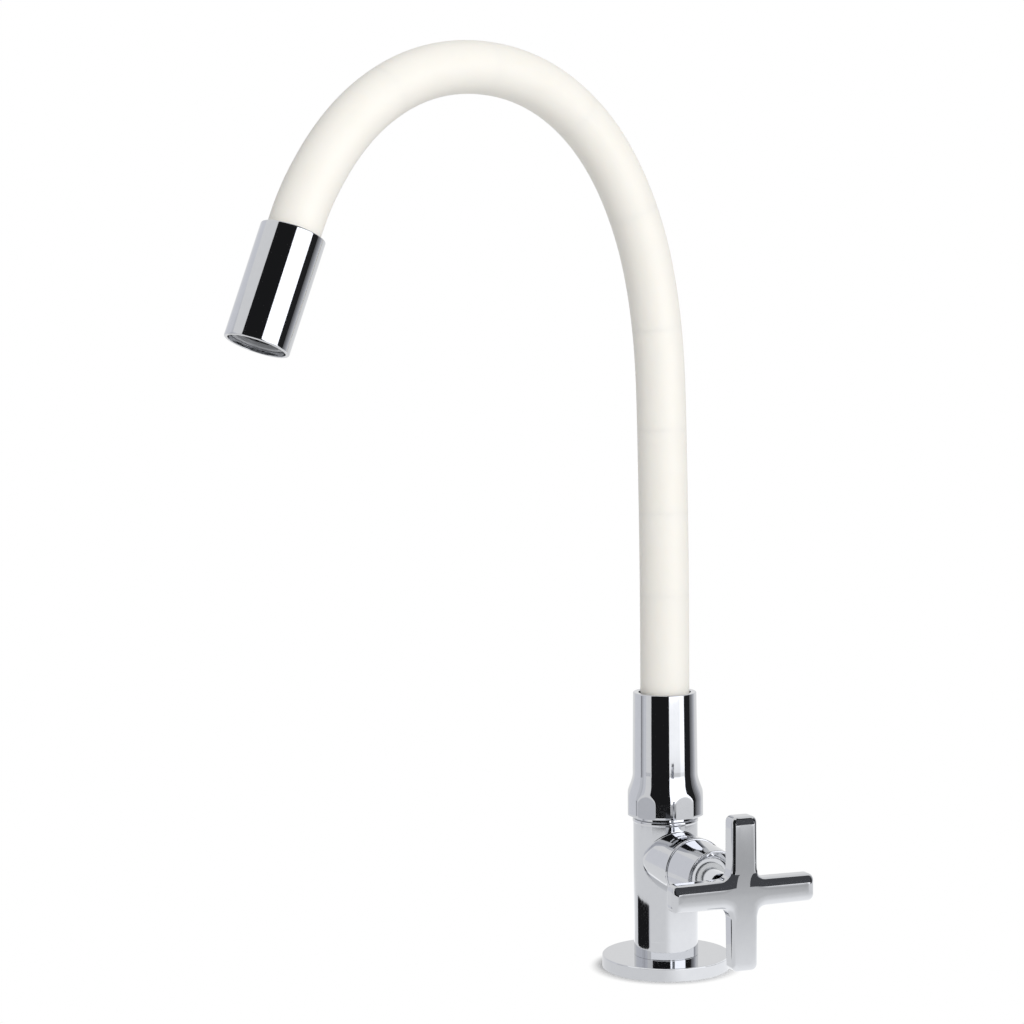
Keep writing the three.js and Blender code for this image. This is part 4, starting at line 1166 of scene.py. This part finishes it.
dim_card = glowing("dim_card", rgb(0.075, 0.077, 0.084))
hood("left_hood", (-31, -2.2), ARM_HALF, ARM_HOOD_RADIUS, ARM_HOOD_TURN)
hood("right_hood", (3.2, 33), ARM_HALF, ARM_HOOD_RADIUS, ARM_HOOD_TURN)
hood("tip_hood", (-4, 6), HANDLE_SPAN / 2, TIP_HOOD_RADIUS, TIP_HOOD_TURN)

table_light = table_glow()
card("foot_light", [
    [mirrored_in_body(azimuth, reach, FOOT_HEIGHT) for azimuth in FOOT_AZIMUTHS]
    for reach in FOOT_REACHES
], glowing("foot_light", LAMP_WHITE, FOOT_STRENGTH))
card("foot_light_top", [
    [mirrored_in_body(azimuth, reach, FOOT_TOP_HEIGHT) for azimuth in FOOT_AZIMUTHS]
    for reach in FOOT_TOP_REACHES
], table_light)

stem_light_turns = [2 * pi * k / STEM_LIGHT_SIDES for k in range(STEM_LIGHT_SIDES + 1)]
card("stem_light", [
    [BRANCH @ Vector((r * cos(turn), r * sin(turn), STEM_LIGHT_ALONG)) for turn in stem_light_turns]
    for r in STEM_LIGHT_RADII
], glowing("stem_light", LAMP_WHITE))

table_with_opening(
    "mirrored_table",
    [around_tap(azimuth, TABLE_RADIUS, 0) for azimuth in range(0, 360, TABLE_TURN)],
    [mirrored_in_body(*corner, 0) for corner in OPENING_NEAR + OPENING_FAR],
    table_light,
)
for number, start in enumerate(LIT_TABLE_FROM):
    fan_card(
        f"mirrored_lit_table_{number}", start, start + LIT_TABLE_WIDTH,
        (LIT_TABLE_INNER, 0), (LIT_TABLE_OUTER, 0), table_light,
    )


def floor_material():
    """White paper that takes the tap's shadow near its foot and is plain white further out."""
    material, wire = emptied("pale_floor")
    place = places(wire)
    x, y = place.part_of(0), place.part_of(1)
    away = (x * x + y * y).between(*FLOOR_FADE)
    speck = noise(wire, 3.0, 2.0)
    paper = wire.node(
        "ShaderNodeBsdfDiffuse", {},
        {"Color": mixed(wire, rgb(0.9, 0.9, 0.9), rgb(0.93, 0.93, 0.93), speck)},
    )
    white = wire.node("ShaderNodeEmission", {}, {"Color": rgb(1, 1, 1), "Strength": 1.0})
    camera_ray = wire.node("ShaderNodeLightPath", output=0)
    seen = wire.node("ShaderNodeMixShader", {}, {0: away * camera_ray, 1: paper, 2: white})
    wire.node("ShaderNodeOutputMaterial", {}, {"Surface": seen})
    return material


floor_form = bmesh.new()
bmesh.ops.create_circle(floor_form, cap_ends=True, segments=128, radius=FLOOR_RADIUS)
floor_mesh = mesh_of("pale_floor", floor_form)
floor_mesh.materials.append(floor_material())
floor = linked("pale_floor", floor_mesh)
floor.visible_glossy = False


def light_surroundings():
    """White for the camera, pale for reflections, and a softer fill for what the tap is lit by."""
    world = bpy.data.worlds.new("white_studio")
    bpy.context.scene.world = world
    world.use_nodes = True
    world.node_tree.nodes.clear()
    wire = Wire(world.node_tree)
    rays = wire.node("ShaderNodeLightPath").socket.node.outputs
    camera_ray, glossy_ray, through_ray = [
        Wire(wire.tree, rays[name])
        for name in ("Is Camera Ray", "Is Glossy Ray", "Is Transmission Ray")
    ]
    shows = wire.sum_of("MINIMUM", camera_ray + glossy_ray + through_ray, 1.0)
    extra = camera_ray * SEEN_SURROUNDINGS + through_ray * SEEN_SURROUNDINGS
    white = rgb(1, 1, 1)
    fill = wire.node("ShaderNodeBackground", {}, {"Color": white, "Strength": FILL_STRENGTH})
    back = wire.node("ShaderNodeBackground", {}, {"Color": white, "Strength": SURROUNDINGS + extra})
    chosen = wire.node("ShaderNodeMixShader", {}, {0: shows, 1: fill, 2: back})
    wire.node("ShaderNodeOutputWorld", {}, {"Surface": chosen})


def soft_lamp(name, place, aim, size, power):
    """A round area lamp that reflections don't show."""
    lamp = bpy.data.lights.new(name, "AREA")
    lamp.shape = "DISK"
    lamp.size = size
    lamp.energy = power
    holder = linked(name, lamp)
    holder.location = place
    holder.rotation_euler = (Vector(aim) - Vector(place)).to_track_quat("-Z", "Y").to_euler()
    holder.visible_glossy = False
    holder.visible_camera = False


def photo_camera():
    """The camera that the photograph was fitted with: pitch and roll first, then its azimuth."""
    data = bpy.data.cameras.new("photo_camera")
    data.sensor_width = CAMERA_SENSOR
    data.lens = CAMERA_LENS
    data.clip_start = CAMERA_CLIP
    camera = linked("photo_camera", data)
    flat_right = Vector((1, 0, 0))
    flat_up = Vector((0, sin(CAMERA_PITCH), cos(CAMERA_PITCH)))
    ahead = Vector((0, cos(CAMERA_PITCH), -sin(CAMERA_PITCH)))
    right = cos(CAMERA_ROLL) * flat_right + sin(CAMERA_ROLL) * flat_up
    up = cos(CAMERA_ROLL) * flat_up - sin(CAMERA_ROLL) * flat_right
    turned = Matrix((right, up, -ahead)).transposed()
    camera.matrix_world = (
        Matrix.Translation(Vector(CAMERA_PLACE) * MM)
        @ (Matrix.Rotation(radians(CAMERA_AZIMUTH), 3, "Z") @ turned).to_4x4()
    )
    bpy.context.scene.camera = camera


light_surroundings()
soft_lamp("key_lamp", place=(1.395, -0.357, 0.866), aim=(0, -0.05, 0.2), size=0.9, power=13.0)
photo_camera()

bpy.context.scene.view_settings.view_transform = "Standard"
